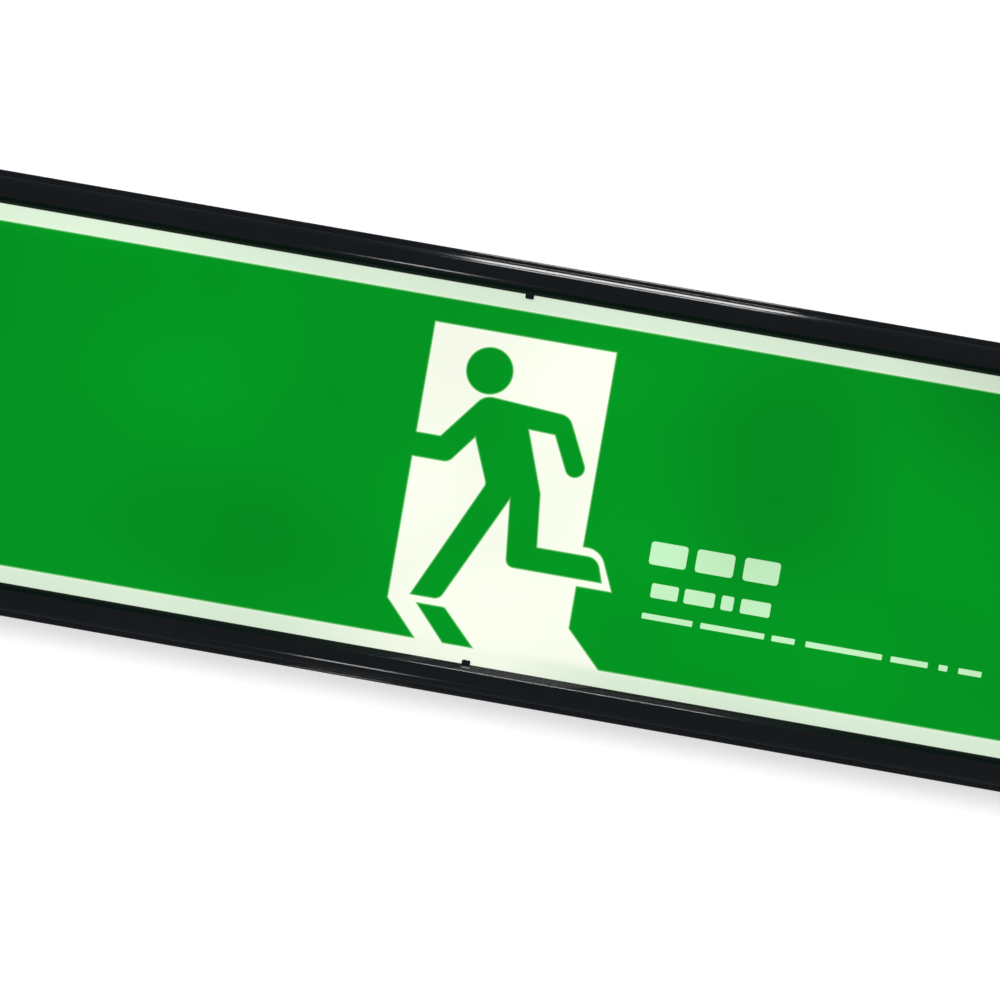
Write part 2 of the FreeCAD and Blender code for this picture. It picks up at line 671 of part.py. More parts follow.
def test_button():
    """Round button: cap through the housing wall, stop flange inside, stem into the switch."""
    x = SIGNAL_X + BUTTON_SHIFT
    low = -BOX_Z - PAD_T - BUTTON_STAND
    cap = rod_z(x, SIGNAL_DEPTH, low, FLANGE_LOW + BUTTON_FLANGE, BUTTON_R)
    rim = [e for e in cap.Edges if abs(e.BoundBox.ZMax - low) < 1e-6]
    cap = cap.makeFillet(BUTTON_EDGE_R, rim)
    flange = rod_z(x, SIGNAL_DEPTH, FLANGE_LOW, FLANGE_LOW + BUTTON_FLANGE, BUTTON_FLANGE_R)
    stem = rod_z(x, SIGNAL_DEPTH, FLANGE_LOW, SWITCH_LOW + STEM_IN, STEM_R)
    return joined([cap, flange, stem])


def signal_lamp(shift):
    """Round lamp with a domed end, on a right-angle block that stands on the signal board."""
    x = SIGNAL_X + shift
    low = -BOX_Z - PAD_T - LAMP_STAND
    block_low = WALL_INSIDE + 4 * MOVE_CLEAR + BUTTON_TRAVEL
    block = slab(x - LAMP_BLOCK / 2, x + LAMP_BLOCK / 2, BOARD_FRONT, SIGNAL_DEPTH + LAMP_BLOCK / 2,
                 block_low, block_low + LAMP_BLOCK_H)
    tube = rod_z(x, SIGNAL_DEPTH, low + LAMP_R / 2, block_low + LAMP_R, LAMP_R)
    dome = Part.makeSphere(LAMP_R, FreeCAD.Vector(x, -SIGNAL_DEPTH, low + LAMP_R))
    return joined([block, tube, dome])


# ---------------------------------------------------------------- front cover

def rail_section(half_across):
    """Section of the bezel rail, from the outer edge inward, as a face across X."""
    seat = RAIL - PANEL_LAP - PANEL_GAP
    crest = DEPTH - BEVEL_TOP_DROP
    step = SHOULDER + STEP_RISE
    ceiling = DEPTH - RAIL_SKIN - PANEL_GAP
    def at(inward, depth):
        return FreeCAD.Vector(0, -depth, half_across - inward)
    crown_from = at(STEP_IN + STEP_RUN, step)
    crown_to = at(RAIL - BEVEL, crest)
    crown_mid = at((STEP_IN + STEP_RUN + RAIL - BEVEL) / 2, DEPTH)
    bend = SHOULDER_R * (1 - math.sqrt(0.5))
    edges = [
        Part.Arc(at(0, SHOULDER - SHOULDER_R), at(bend, SHOULDER - bend), at(SHOULDER_R, SHOULDER)).toShape(),
        Part.LineSegment(at(SHOULDER_R, SHOULDER), at(STEP_IN, SHOULDER)).toShape(),
        Part.LineSegment(at(STEP_IN, SHOULDER), crown_from).toShape(),
        Part.Arc(crown_from, crown_mid, crown_to).toShape(),
    ]
    inside = [
        crown_to,
        at(RAIL, FACE + LIP),
        at(RAIL, FACE),
        at(seat, FACE),
        at(seat, FACE - SEAT_RIB_DEPTH),
        at(seat - SEAT_RIB, FACE - SEAT_RIB_DEPTH),
        at(seat - SEAT_RIB, ceiling),
        at(COVER_WALL + MOULD_EDGE, ceiling),
        at(COVER_WALL, ceiling - MOULD_EDGE),
        at(COVER_WALL, COVER_REAR),
        at(0, COVER_REAR),
        at(0, SHOULDER - SHOULDER_R),
    ]
    return Part.Face(Part.Wire(edges + Part.makePolygon(inside).Edges))


def mitred_rail(half_run, half_across):
    """One side of the bezel along X, cut at 45 degrees at both ends."""
    face = rail_section(half_across)
    face.translate(FreeCAD.Vector(-half_run, 0, 0))
    bar = face.extrude(FreeCAD.Vector(2 * half_run, 0, 0))
    inset = RAIL + THROUGH
    wedge = [(-half_run, half_across, 0), (half_run, half_across, 0),
             (half_run - inset, half_across - inset, 0), (-half_run + inset, half_across - inset, 0)]
    return bar.common(plate(wedge, 0, DEPTH + THROUGH))


def centre_lug(top):
    """Small moulded lug that reaches from the middle of a long rail over the face."""
    edge = HEIGHT / 2 - RAIL
    way = 1 if top else -1
    outline = [(-LUG_W / 2, way * (edge + THROUGH), 0), (LUG_W / 2, way * (edge + THROUGH), 0),
               (LUG_W / 2, way * (edge - LUG_REACH), LUG_R), (-LUG_W / 2, way * (edge - LUG_REACH), LUG_R)]
    return plate(outline, FACE, FACE + LUG_T)


def clip_places():
    """Clip screws, each with the direction in which its clip reaches over the panel."""
    z = HEIGHT / 2 - CLIP_BOSS_IN
    x = LENGTH / 2 - CLIP_BOSS_IN
    places = [(run, side * z, 0, -side) for side in (-1, 1) for run in (-CLIP_RUN_X, 0, CLIP_RUN_X)]
    return places + [(side * x, 0, -side, 0) for side in (-1, 1)]


def cover_ear(x, side):
    """One ear of a hinge, moulded on the rear edge of the cover's top wall."""
    near = KNUCKLE_L / 2 + HINGE_CLEAR
    far = near + EAR_L
    x0, x1 = sorted((x + side * near, x + side * far))
    barrel = rod_x(x0, x1, HINGE_DEPTH, HINGE_Z, HINGE_R)
    return barrel.fuse(slab(x0, x1, HINGE_DEPTH, COVER_REAR + HINGE_R, HINGE_Z, HINGE_Z + HINGE_R))


def front_bezel():
    """The whole front frame: four mitred rails, lugs, clip bosses, hinge ears and catch beads."""
    quarter = FreeCAD.Vector(0, 1, 0)
    origin = FreeCAD.Vector(0, 0, 0)
    rails = [mitred_rail(LENGTH / 2, HEIGHT / 2), mitred_rail(HEIGHT / 2, LENGTH / 2)]
    rails[1].rotate(origin, quarter, 90)
    for rail in rails[:2]:
        other = rail.copy()
        other.rotate(origin, quarter, 180)
        rails.append(other)
    frame = joined(rails)
    frame = frame.common(plate(rectangle(0, 0, LENGTH / 2, HEIGHT / 2, CORNER_R), 0, DEPTH + THROUGH))
    bosses = [rod(x, z, PANEL_BACK, SHOULDER, CLIP_BOSS_R) for x, z, _, _ in clip_places()]
    ears = [cover_ear(x, side) for x in (-HINGE_X, HINGE_X) for side in (-1, 1)]
    inside = -HEIGHT / 2 + COVER_WALL
    beads = [ridge(x, BEAD_DEPTH, inside, BEAD_H, BEAD_W, True) for x in (-CATCH_X, CATCH_X)]
    knuckle = KNUCKLE_L / 2 + HINGE_CLEAR
    reach = HINGE_DEPTH + HINGE_R + HINGE_CLEAR
    above = HEIGHT / 2 + THROUGH
    cuts = [slab(x - knuckle, x + knuckle, 0, reach, BOX_Z, above) for x in (-HINGE_X, HINGE_X)]
    cuts += [rod_x(x - PIN_L / 2 - THROUGH, x + PIN_L / 2 + THROUGH, HINGE_DEPTH, HINGE_Z, PIN_R)
             for x in (-HINGE_X, HINGE_X)]
    low = -HEIGHT / 2
    bay = [(SIGNAL_X - BAY_W / 2, 0), (SIGNAL_X + BAY_W / 2, BAY_FRONT)]
    cuts.append(slab(bay[0][0], bay[1][0], bay[0][1], bay[1][1], low - THROUGH, low + COVER_WALL + THROUGH))
    cuts.append(slab(-PRY_W / 2, PRY_W / 2, 0, COVER_REAR + PRY_DEPTH, low - THROUGH, low + COVER_WALL / 2))
    cuts += [rod(x, z, 0, PANEL_BACK + SCREW_BITE, SCREW_R + SCREW_FIT) for x, z, _, _ in clip_places()]
    solid = joined([frame, centre_lug(True), centre_lug(False)] + bosses + ears + beads)
    return solid.cut(cuts)


def face_panel():
    half_x = LENGTH / 2 - RAIL + PANEL_LAP
    half_z = HEIGHT / 2 - RAIL + PANEL_LAP
    return plate(rectangle(0, 0, half_x, half_z), PANEL_BACK, FACE)


def shifted(corners):
    return [(x + DOOR_SHIFT, z, radius) for x, z, radius in corners]


def green_print():
    """The printed fields: the ground with its runner, the runner's head and the cast shadow."""
    field_x = LENGTH / 2 - RAIL - WHITE_STRIP
    field_z = HEIGHT / 2 - RAIL - WHITE_STRIP
    half = DOOR_W / 2
    below = -field_z - THROUGH
    doorway = [
        (-half, DOOR_TOP, 0),
        (half, DOOR_TOP, 0),
        (half, DOOR_FOOT, 0),
        (half + DOOR_SKEW + THROUGH, below, 0),
        (-half + DOOR_SKEW - THROUGH, below, 0),
        (-half + DOOR_SKEW - THROUGH, -field_z, 0),
        (-half, DOOR_FOOT, 0),
    ]
    foot_halo = [
        (half - THROUGH, -23.6, 0),
        (49.7, -23.6, 9.0),
        (57.6, -41.2, 0),
        (half - THROUGH, -41.2, 0),
    ]
    runner = [
        (-half - THROUGH, 15.4, 0),      # rear hand
        (-30.7, 15.4, 0),                # rear elbow, outside
        (-14.0, 36.9, 8.0),              # rear shoulder
        (25.8, 34.2, 7.0),               # front elbow
        (38.2, 9.2, 4.6),                # front hand
        (29.8, 5.0, 4.6),
        (20.4, 24.2, 0),                 # front arm, inside
        (8.7, 24.6, 0),
        (18.8, -3.0, 0),                 # hip
        (21.4, -27.0, 0),                # knee, inside
        (49.4, -27.0, 6.5),              # front toe
        (53.2, -38.4, 0),
        (8.4, -38.4, 4.0),               # knee, outside
        (5.2, -8.6, 0),                  # crotch
        (-18.3, -58.2, 4.5),             # rear foot
        (-32.4, -58.2, 0),
        (-6.8, -2.8, 3.0),               # waist
        (-15.0, 16.8, 0),                # rear armpit
        (-24.9, 3.9, 5.0),               # rear elbow, inside
        (-half - THROUGH, 3.9, 0),
    ]
    shadow = [
        (-29.1, -61.0, 0),
        (-15.4, -61.0, 2.5),
        (0.9, -field_z, 0),
        (-13.8, -field_z, 0),
    ]
    top = FACE + PRINT_T
    ground = plate(rectangle(0, 0, field_x, field_z), FACE, top)
    white = [plate(shifted(outline), FACE - THROUGH, top + THROUGH) for outline in (doorway, foot_halo)]
    ground = joined([ground.cut(white), plate(shifted(runner), FACE, top)])
    head = rod(HEAD_AT[0] + DOOR_SHIFT, HEAD_AT[1], FACE, top, HEAD_R)
    return [ground, head, plate(shifted(shadow), FACE, top)]


def panel_clip(x, z, way_x, way_z):
    """Flat clip with a rounded tail, from its screw to the edge of the panel."""
    reach = CLIP_INNER - CLIP_BOSS_IN
    half = CLIP_W / 2
    across = (way_z, way_x)
    tail = -CLIP_BOSS_R
    def corner(along, side, radius):
        return (x + along * way_x + side * across[0], z + along * way_z + side * across[1], radius)
    outline = [corner(tail, -half, CLIP_R), corner(tail, half, CLIP_R),
               corner(reach, half, 0), corner(reach, -half, 0)]
    return plate(outline, PANEL_BACK - CLIP_T, PANEL_BACK).cut(rod(x, z, 0, DEPTH, SCREW_R + SCREW_FIT))


def hinge_pin(x):
    return rod_x(x - PIN_L / 2, x + PIN_L / 2, HINGE_DEPTH, HINGE_Z, PIN_R)


os.makedirs("parts", exist_ok=True)

export("back_housing", back_housing())
export("cable_grommet", cable_grommet())
export("reflector_tray", reflector_tray())
export("reflector_sides", reflector_sides())
export("tray_screws", [screw(x, z, TRAY_FRONT, SCREW_BITE) for x, z in tray_screw_places()])
export("led_bars", led_bars())
export("led_chips", [led_chip(x, z) for x, z in chip_places()])
export("led_bar_screws", [screw(x, z, TRAY_FRONT + BAR_T, SCREW_BITE) for x, z in bar_screw_places()])
export("driver_board", driver_board())
export("board_spacers", [board_spacer(x, z) for x, z in board_screw_places()])
export("board_screws", [screw(x, z, BOARD_FRONT, SPACER_H + SCREW_BITE) for x, z in board_screw_places()])
core, coil = transformer_parts()
export("transformer_core", core)
export("transformer_coil", coil)
export("capacitors", capacitors())
export("board_sockets", board_sockets())
export("battery_cells", battery_cells())
export("battery_holder", battery_holder())
export("battery_strap", battery_strap())
export("strap_screws", [screw(x, z, TRAY_FRONT + STRAP_T, SCREW_BITE) for x, z in strap_screw_places()])
export("terminal_block", terminal_block())
export("terminal_screws", terminal_screws())
export("signal_board", signal_board())
export("test_switch", test_switch())
export("test_button", test_button())
export("power_lamp", signal_lamp(LAMP_SHIFTS[0]))
export("fault_lamp", signal_lamp(LAMP_SHIFTS[1]))
export("front_bezel", front_bezel())
export("face_panel", face_panel())
export("green_print", green_print())
export("panel_clips", [panel_clip(*place) for place in clip_places()])
clip_seat = PANEL_BACK - CLIP_T
export("panel_clip_screws", [screw(x, z, clip_seat, SCREW_BITE, -1) for x, z, _, _ in clip_places()])
export("hinge_pins", [hinge_pin(x) for x in (-HINGE_X, HINGE_X)])
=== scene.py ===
import bmesh
import bpy
import json
import math
from mathutils import Matrix, Vector

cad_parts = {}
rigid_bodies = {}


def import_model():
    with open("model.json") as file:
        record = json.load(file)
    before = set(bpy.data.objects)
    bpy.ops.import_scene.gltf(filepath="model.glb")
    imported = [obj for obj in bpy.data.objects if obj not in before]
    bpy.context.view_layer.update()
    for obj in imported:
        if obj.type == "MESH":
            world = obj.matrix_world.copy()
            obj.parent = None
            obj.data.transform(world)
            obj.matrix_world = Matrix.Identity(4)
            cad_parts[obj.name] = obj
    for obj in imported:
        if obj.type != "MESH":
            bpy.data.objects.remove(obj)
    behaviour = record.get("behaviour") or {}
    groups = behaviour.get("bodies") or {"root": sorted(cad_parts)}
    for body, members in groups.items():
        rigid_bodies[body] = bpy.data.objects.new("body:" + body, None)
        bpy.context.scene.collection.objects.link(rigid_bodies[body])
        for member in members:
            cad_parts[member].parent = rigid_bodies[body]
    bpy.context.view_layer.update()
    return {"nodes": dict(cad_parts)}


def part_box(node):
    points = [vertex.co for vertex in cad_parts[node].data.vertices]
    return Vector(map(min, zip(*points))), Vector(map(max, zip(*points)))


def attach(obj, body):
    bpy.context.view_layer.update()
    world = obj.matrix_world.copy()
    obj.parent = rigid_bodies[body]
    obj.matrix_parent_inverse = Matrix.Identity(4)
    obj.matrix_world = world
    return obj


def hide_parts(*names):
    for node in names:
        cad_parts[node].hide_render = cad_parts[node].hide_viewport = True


# The empty bench: what a new file holds is cleared, and the imported frame is brought in.
for spare in list(bpy.data.objects):
    bpy.data.objects.remove(spare)
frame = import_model()
node = frame["nodes"]
MM = 0.001

# ---------------------------------------------------------------- wall housing
# The box that stays on the wall. One moulding in black ABS with a fine spark-eroded surface, straight
# from the tool, held by four screws through its floor.

HOUSING_BLACK = (0.012, 0.0125, 0.014, 1)
FINE = 0.0001  # depth of the finest relief in a bump, in metres


def put(tree, kind, sockets=None, **settings):
    """Adds a node: settings are its own, and sockets are values, or other nodes' outputs to join."""
    made = tree.nodes.new(kind)
    for name, value in settings.items():
        setattr(made, name, value)
    for name, value in (sockets or {}).items():
        if isinstance(value, bpy.types.NodeSocket):
            tree.links.new(value, made.inputs[name])
        else:
            made.inputs[name].default_value = value
    return made


def new_group(name, inputs, outputs):
    """A shader node group with named inputs (name, kind, value) and outputs (name, kind)."""
    tree = bpy.data.node_groups.new(name, "ShaderNodeTree")
    for label, kind, value in inputs:
        tree.interface.new_socket(label, in_out="INPUT", socket_type=kind).default_value = value
    for label, kind in outputs:
        tree.interface.new_socket(label, in_out="OUTPUT", socket_type=kind)
    return tree, tree.nodes.new("NodeGroupInput").outputs, tree.nodes.new("NodeGroupOutput").inputs


def grain_group():
    """Fine surface of a moulding or a coat: a height for bump, and a slow change of tone and gloss."""
    tree, given, result = new_group(
        "surface_grain",
        [("Fineness", "NodeSocketFloat", 900.0), ("Patch", "NodeSocketFloat", 18.0)],
        [("Height", "NodeSocketFloat"), ("Tone", "NodeSocketFloat")])
    place = put(tree, "ShaderNodeTexCoord").outputs["Object"]
    fine = put(tree, "ShaderNodeTexNoise", {"Vector": place, "Scale": given["Fineness"], "Detail": 2.0})
    broad = put(tree, "ShaderNodeTexNoise", {"Vector": place, "Scale": given["Patch"], "Detail": 3.0,
                                             "Roughness": 0.6})
    tree.links.new(fine.outputs["Fac"], result["Height"])
    tree.links.new(broad.outputs["Fac"], result["Tone"])
    return tree


def wear_group():
    """Corners rubbed by handling: a mask that is strong where the surface turns sharply."""
    tree, given, result = new_group(
        "rubbed_edges",
        [("Radius", "NodeSocketFloat", 0.0006), ("Amount", "NodeSocketFloat", 1.0)],
        [("Mask", "NodeSocketFloat")])
    soft = put(tree, "ShaderNodeBevel", {"Radius": given["Radius"]}, samples=4).outputs["Normal"]
    flat = put(tree, "ShaderNodeNewGeometry").outputs["Normal"]
    turn = put(tree, "ShaderNodeVectorMath", operation="DOT_PRODUCT")
    tree.links.new(soft, turn.inputs[0])
    tree.links.new(flat, turn.inputs[1])
    edge = put(tree, "ShaderNodeMapRange", {"Value": turn.outputs["Value"], "From Min": 0.99,
                                            "From Max": 0.80, "To Min": 0.0, "To Max": 1.0})
    place = put(tree, "ShaderNodeTexCoord").outputs["Object"]
    broken = put(tree, "ShaderNodeTexNoise", {"Vector": place, "Scale": 60.0, "Detail": 4.0})
    kept = put(tree, "ShaderNodeMapRange", {"Value": broken.outputs["Fac"], "From Min": 0.45,
                                            "From Max": 0.62, "To Min": 0.0, "To Max": 1.0})
    both = put(tree, "ShaderNodeMath", operation="MULTIPLY")
    tree.links.new(edge.outputs["Result"], both.inputs[0])
    tree.links.new(kept.outputs["Result"], both.inputs[1])
    out = put(tree, "ShaderNodeMath", operation="MULTIPLY")
    tree.links.new(both.outputs[0], out.inputs[0])
    tree.links.new(given["Amount"], out.inputs[1])
    tree.links.new(out.outputs[0], result["Mask"])
    return tree


GRAIN = grain_group()
WEAR = wear_group()


def blank(name):
    """A new material: its node tree and its Principled shader."""
    material = bpy.data.materials.new(name)
    material.use_nodes = True
    return material, material.node_tree, material.node_tree.nodes["Principled BSDF"]


def mixed(tree, factor, first, second):
    """Colour between two, by a factor."""
    made = put(tree, "ShaderNodeMix", data_type="RGBA")
    for socket, value in ((made.inputs[0], factor), (made.inputs[6], first), (made.inputs[7], second)):
        if isinstance(value, bpy.types.NodeSocket):
            tree.links.new(value, socket)
        else:
            socket.default_value = value
    return made.outputs[2]


def ranged(tree, value, low, high, start=0.0, end=1.0):
    """A value carried from start..end to low..high."""
    return put(tree, "ShaderNodeMapRange", {"Value": value, "From Min": start, "From Max": end,
                                            "To Min": low, "To Max": high}).outputs["Result"]


def surfaced(tree, shader, surface, height, gloss, strength, depth=FINE):
    """Ends a material: gloss that changes slowly between two values, and a bump from a height."""
    tree.links.new(ranged(tree, surface.outputs["Tone"], *gloss), shader.inputs["Roughness"])
    bump = put(tree, "ShaderNodeBump", {"Height": height, "Strength": strength, "Distance": depth})
    tree.links.new(bump.outputs["Normal"], shader.inputs["Normal"])
    return bump


def moulded(name, colour, rough, grain=0.15, fineness=900.0, wear=0.3, pale=0.12, shade=0.12, soft=0.0,
            **constants):
    """A moulded or coated finish: colour with a slow shade, grain in the surface, rubbed edges, and
    corners that catch the light over a soft radius in mm."""
    material, tree, shader = blank(name)
    surface = put(tree, "ShaderNodeGroup", node_tree=GRAIN)
    surface.inputs["Fineness"].default_value = fineness
    edge = put(tree, "ShaderNodeGroup", node_tree=WEAR)
    edge.inputs["Amount"].default_value = wear
    deep = tuple(c * (1 - shade) for c in colour[:3]) + (1,)
    lift = tuple(min(1.0, c * (1 + shade)) for c in colour[:3]) + (1,)
    worn = tuple(c + (1 - c) * pale for c in colour[:3]) + (1,)
    tone = ranged(tree, surface.outputs["Tone"], 0.0, 1.0, 0.3, 0.7)
    body = mixed(tree, tone, deep, lift)
    tree.links.new(mixed(tree, edge.outputs["Mask"], body, worn), shader.inputs["Base Color"])
    bump = surfaced(tree, shader, surface, surface.outputs["Height"],
                    (rough * 0.85, rough * 1.2, 0.3, 0.7), grain)
    if soft:
        rounded = put(tree, "ShaderNodeBevel", {"Radius": soft * MM}, samples=6)
        tree.links.new(rounded.outputs["Normal"], bump.inputs["Normal"])
    for socket, value in constants.items():
        shader.inputs[socket.replace("_", " ")].default_value = value
    return material


def dress(names, material):
    """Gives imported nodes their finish."""
    for name in names.split():
        for slot in node[name].material_slots:
            slot.material = material


dress("back_housing", moulded("housing_abs", HOUSING_BLACK, 0.42, grain=0.5, Specular_IOR_Level=0.35))

# ---------------------------------------------------------------- cable grommet
# Black rubber, pushed through the hole in the floor so that its two flanges hold it.

dress("cable_grommet", moulded("black_rubber", (0.016, 0.016, 0.016, 1), 0.65, grain=0.5, wear=0.5,
                               pale=0.06))

# ---------------------------------------------------------------- reflector
# A flat tray and five leaning sides of thin sheet steel, folded, spot welded along their feet and
# powder coated white so that they throw the light forward.

dress("reflector_tray reflector_sides",
      moulded("white_steel", (0.78, 0.79, 0.77, 1), 0.38, grain=0.35, fineness=500.0, wear=0.25,
              pale=-0.3, shade=0.03))

# ---------------------------------------------------------------- screws
# Zinc-plated pan heads with a cross recess, cold headed. One head is modelled and copied to each hole;
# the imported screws' shanks are out of sight in the bosses.

STEEL = moulded("plated_steel", (0.50, 0.50, 0.47, 1), 0.28, grain=0.1, shade=0.10, pale=0.3, Metallic=1.0)
HEAD_R = 2.6
HEAD_H = 1.8
HEAD_ROUND = 1.1
RECESS = (2.7, 0.62, 0.9)  # length, width and depth of each arm of the cross


def solids_of(name):
    """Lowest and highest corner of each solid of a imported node."""
    mesh = bmesh.new()
    mesh.from_mesh(node[name].data)
    bmesh.ops.remove_doubles(mesh, verts=mesh.verts, dist=1e-7)
    left = set(mesh.verts)
    found = []
    while left:
        reach = [left.pop()]
        body = []
        while reach:
            vert = reach.pop()
            body.append(vert.co.copy())
            for edge in vert.link_edges:
                other = edge.other_vert(vert)
                if other in left:
                    left.remove(other)
                    reach.append(other)
        low = Vector(min(co[i] for co in body) for i in range(3))
        high = Vector(max(co[i] for co in body) for i in range(3))
        found.append((low, high))
    mesh.free()
    return sorted(found, key=lambda pair: tuple(round(c, 5) for c in pair[0]))


def only(*pieces):
    """Selects these pieces and nothing else, the first one active."""
    bpy.ops.object.select_all(action="DESELECT")
    for piece in pieces:
        piece.select_set(True)
    bpy.context.view_layer.objects.active = pieces[0]


def pick(piece, wanted):
    """In edit mode with nothing else selected: the faces that wanted(centre, normal) says."""
    only(piece)
    bpy.ops.object.mode_set(mode="EDIT")
    bpy.ops.mesh.select_mode(type="FACE")
    bpy.ops.mesh.select_all(action="DESELECT")
    mesh = bmesh.from_edit_mesh(piece.data)
    for face in mesh.faces:
        face.select_set(wanted(face.calc_center_median(), face.normal))
    bmesh.update_edit_mesh(piece.data)


def edges_where(piece, wanted):
    """In edit mode with nothing else selected: the edges that wanted(middle, direction) says."""
    only(piece)
    bpy.ops.object.mode_set(mode="EDIT")
    bpy.ops.mesh.select_mode(type="EDGE")
    bpy.ops.mesh.select_all(action="DESELECT")
    mesh = bmesh.from_edit_mesh(piece.data)
    for edge in mesh.edges:
        first, second = (vert.co for vert in edge.verts)
        edge.select_set(wanted((first + second) / 2, (first - second).normalized()))


def paint(piece, number):
    """In edit mode: gives the selected faces one of the piece's materials."""
    piece.active_material_index = number
    bpy.ops.object.material_slot_assign()


def done():
    """Back to object mode."""
    bpy.ops.object.mode_set(mode="OBJECT")


def as_one(pieces):
    """Joins pieces into the first."""
    only(*pieces)
    if len(pieces) > 1:
        bpy.ops.object.join()
    return bpy.context.object


def set_down(piece, *materials):
    """Puts a piece's place into its mesh, and gives it its materials."""
    only(piece)
    bpy.ops.object.transform_apply(location=True, rotation=True, scale=True)
    for material in materials:
        piece.data.materials.append(material)
    return piece


def block(size, at, *materials):
    """A box primitive of a size in mm at a place in metres."""
    bpy.ops.object.select_all(action="DESELECT")
    bpy.ops.mesh.primitive_cube_add(size=1, location=at)
    bpy.context.object.scale = [side * MM for side in size]
    return set_down(bpy.context.object, *materials)


def round_bar(radius, length, at, sides, way, *materials):
    """A cylinder primitive, sizes in mm, along Y or Z."""
    turn = {"Y": (math.pi / 2, 0, 0), "Z": (0, 0, 0)}[way]
    bpy.ops.object.select_all(action="DESELECT")
    bpy.ops.mesh.primitive_cylinder_add(vertices=sides, radius=radius * MM, depth=length * MM,
                                        location=at, rotation=turn)
    return set_down(bpy.context.object, *materials)


def cut_with(piece, cutter):
    """Takes the cutter's form out of the piece."""
    only(piece)
    tool = piece.modifiers.new("cut", "BOOLEAN")
    tool.operation = "DIFFERENCE"
    tool.solver = "EXACT"
    tool.object = cutter
    bpy.ops.object.modifier_apply(modifier=tool.name)
    bpy.data.objects.remove(cutter)


def repeated(piece, places):
    """One piece made of copies of a piece, each moved to its place."""
    copies = []
    for place in places:
        copy = piece.copy()
        copy.data = piece.data.copy()
        bpy.context.collection.objects.link(copy)
        copy.data.transform(Matrix.Translation(place))
        copies.append(copy)
    bpy.data.objects.remove(piece)
    return as_one(copies)


def fit(piece, name, body, slot, *replaced, angle=35):
    """Names and shades a finished piece, and ties it to its body and what it stands for; slot is not used.
    """
    piece.name = name
    only(piece)
    bpy.ops.object.shade_smooth_by_angle(angle=math.radians(angle))
    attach(piece, body)
    if replaced:
        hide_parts(*replaced)
    return piece


def pan_head(out=-1):
    """A pan head on the origin, standing out along Y by its height."""
    head = round_bar(HEAD_R, HEAD_H, (0, out * HEAD_H / 2 * MM, 0), 20, "Y", STEEL)
    pick(head, lambda at, normal: normal.y * out > 0.9)
    bpy.ops.mesh.bevel(offset=HEAD_ROUND * MM, segments=3, affect="EDGES")
    done()
    cross = block((RECESS[0], 2 * RECESS[2], RECESS[1]), (0, out * HEAD_H * MM, 0), STEEL)
    arm = block((RECESS[1], 2 * RECESS[2], RECESS[0]), (0, out * HEAD_H * MM, 0), STEEL)
    cut_with(head, cross)
    cut_with(head, arm)
    return head


def heads_on(name, body, out=-1):
    """A modelled head for each packed screw of a node."""
    places = []
    for low, high in solids_of(name):
        seat = (low.y if out < 0 else high.y) - out * HEAD_H * MM
        places.append(((low.x + high.x) / 2, seat, (low.z + high.z) / 2))
    fit(repeated(pan_head(out), places), name + "_heads", body, "plated_steel", name)


heads_on("tray_screws", "housing")
heads_on("led_bar_screws", "housing")
heads_on("board_screws", "housing")
heads_on("strap_screws", "housing")
heads_on("panel_clip_screws", "cover", out=1)

# ---------------------------------------------------------------- lamp bars
# Six aluminium circuit bars with a white solder mask, screwed flat on the tray in two rows. Each lamp
# is a white ceramic case with a well of yellow phosphor; a small resistor sits between neighbours.

WHITE_MASK = moulded("white_board", (0.80, 0.81, 0.79, 1), 0.33, wear=0.2, pale=-0.4, shade=0.03)
dress("led_bars", WHITE_MASK)
TINNED = moulded("tinned_pad", (0.66, 0.66, 0.64, 1), 0.32, grain=0.3, Metallic=1.0)
BLACK_CHIP = moulded("black_epoxy", (0.018, 0.018, 0.019, 1), 0.5, grain=0.6)
CASE = moulded("lamp_case", (0.80, 0.80, 0.76, 1), 0.4, wear=0.0, shade=0.03)

phosphor, tree, shader = blank("phosphor")
surface = put(tree, "ShaderNodeGroup", node_tree=GRAIN)
surface.inputs["Fineness"].default_value = 2500.0
warm = mixed(tree, surface.outputs["Height"], (0.90, 0.58, 0.09, 1), (0.95, 0.72, 0.20, 1))
tree.links.new(warm, shader.inputs["Base Color"])
glowing = mixed(tree, surface.outputs["Tone"], (0.80, 0.62, 0.28, 1), (0.95, 0.80, 0.45, 1))
tree.links.new(glowing, shader.inputs["Emission Color"])
shader.inputs["Emission Strength"].default_value = 0.5
surfaced(tree, shader, surface, surface.outputs["Height"], (0.18, 0.30), 0.2)

CHIP = (5.6, 1.9, 5.0)  # width, rise and height
CHIP_RIM = 0.6
CHIP_WELL = (0.25, 0.35)  # slope and depth of the well
PHOSPHOR_DOME = ((0.6, 0.16), (0.6, 0.06))  # two steps, in and up
CHIP_CORNER = 0.5
chips = solids_of("led_chips")
chip_places = [(low + high) / 2 for low, high in chips]
chip = block(CHIP, (0, 0, 0), CASE, phosphor)
pick(chip, lambda at, normal: normal.y < -0.9)
bpy.ops.mesh.inset(thickness=CHIP_RIM * MM, depth=0)
bpy.ops.mesh.inset(thickness=CHIP_WELL[0] * MM, depth=-CHIP_WELL[1] * MM)
paint(chip, 1)
for step, rise in PHOSPHOR_DOME:
    bpy.ops.mesh.inset(thickness=step * MM, depth=rise * MM)
done()
side_x, side_z = (0.49 * CHIP[i] * MM for i in (0, 2))
edges_where(chip, lambda middle, way: abs(middle.x) > side_x and abs(middle.z) > side_z)
bpy.ops.mesh.bevel(offset=CHIP_CORNER * MM, segments=3, affect="EDGES")
done()
fit(repeated(chip, chip_places), "lamp_cases", "housing", "clear_lens", "led_chips")

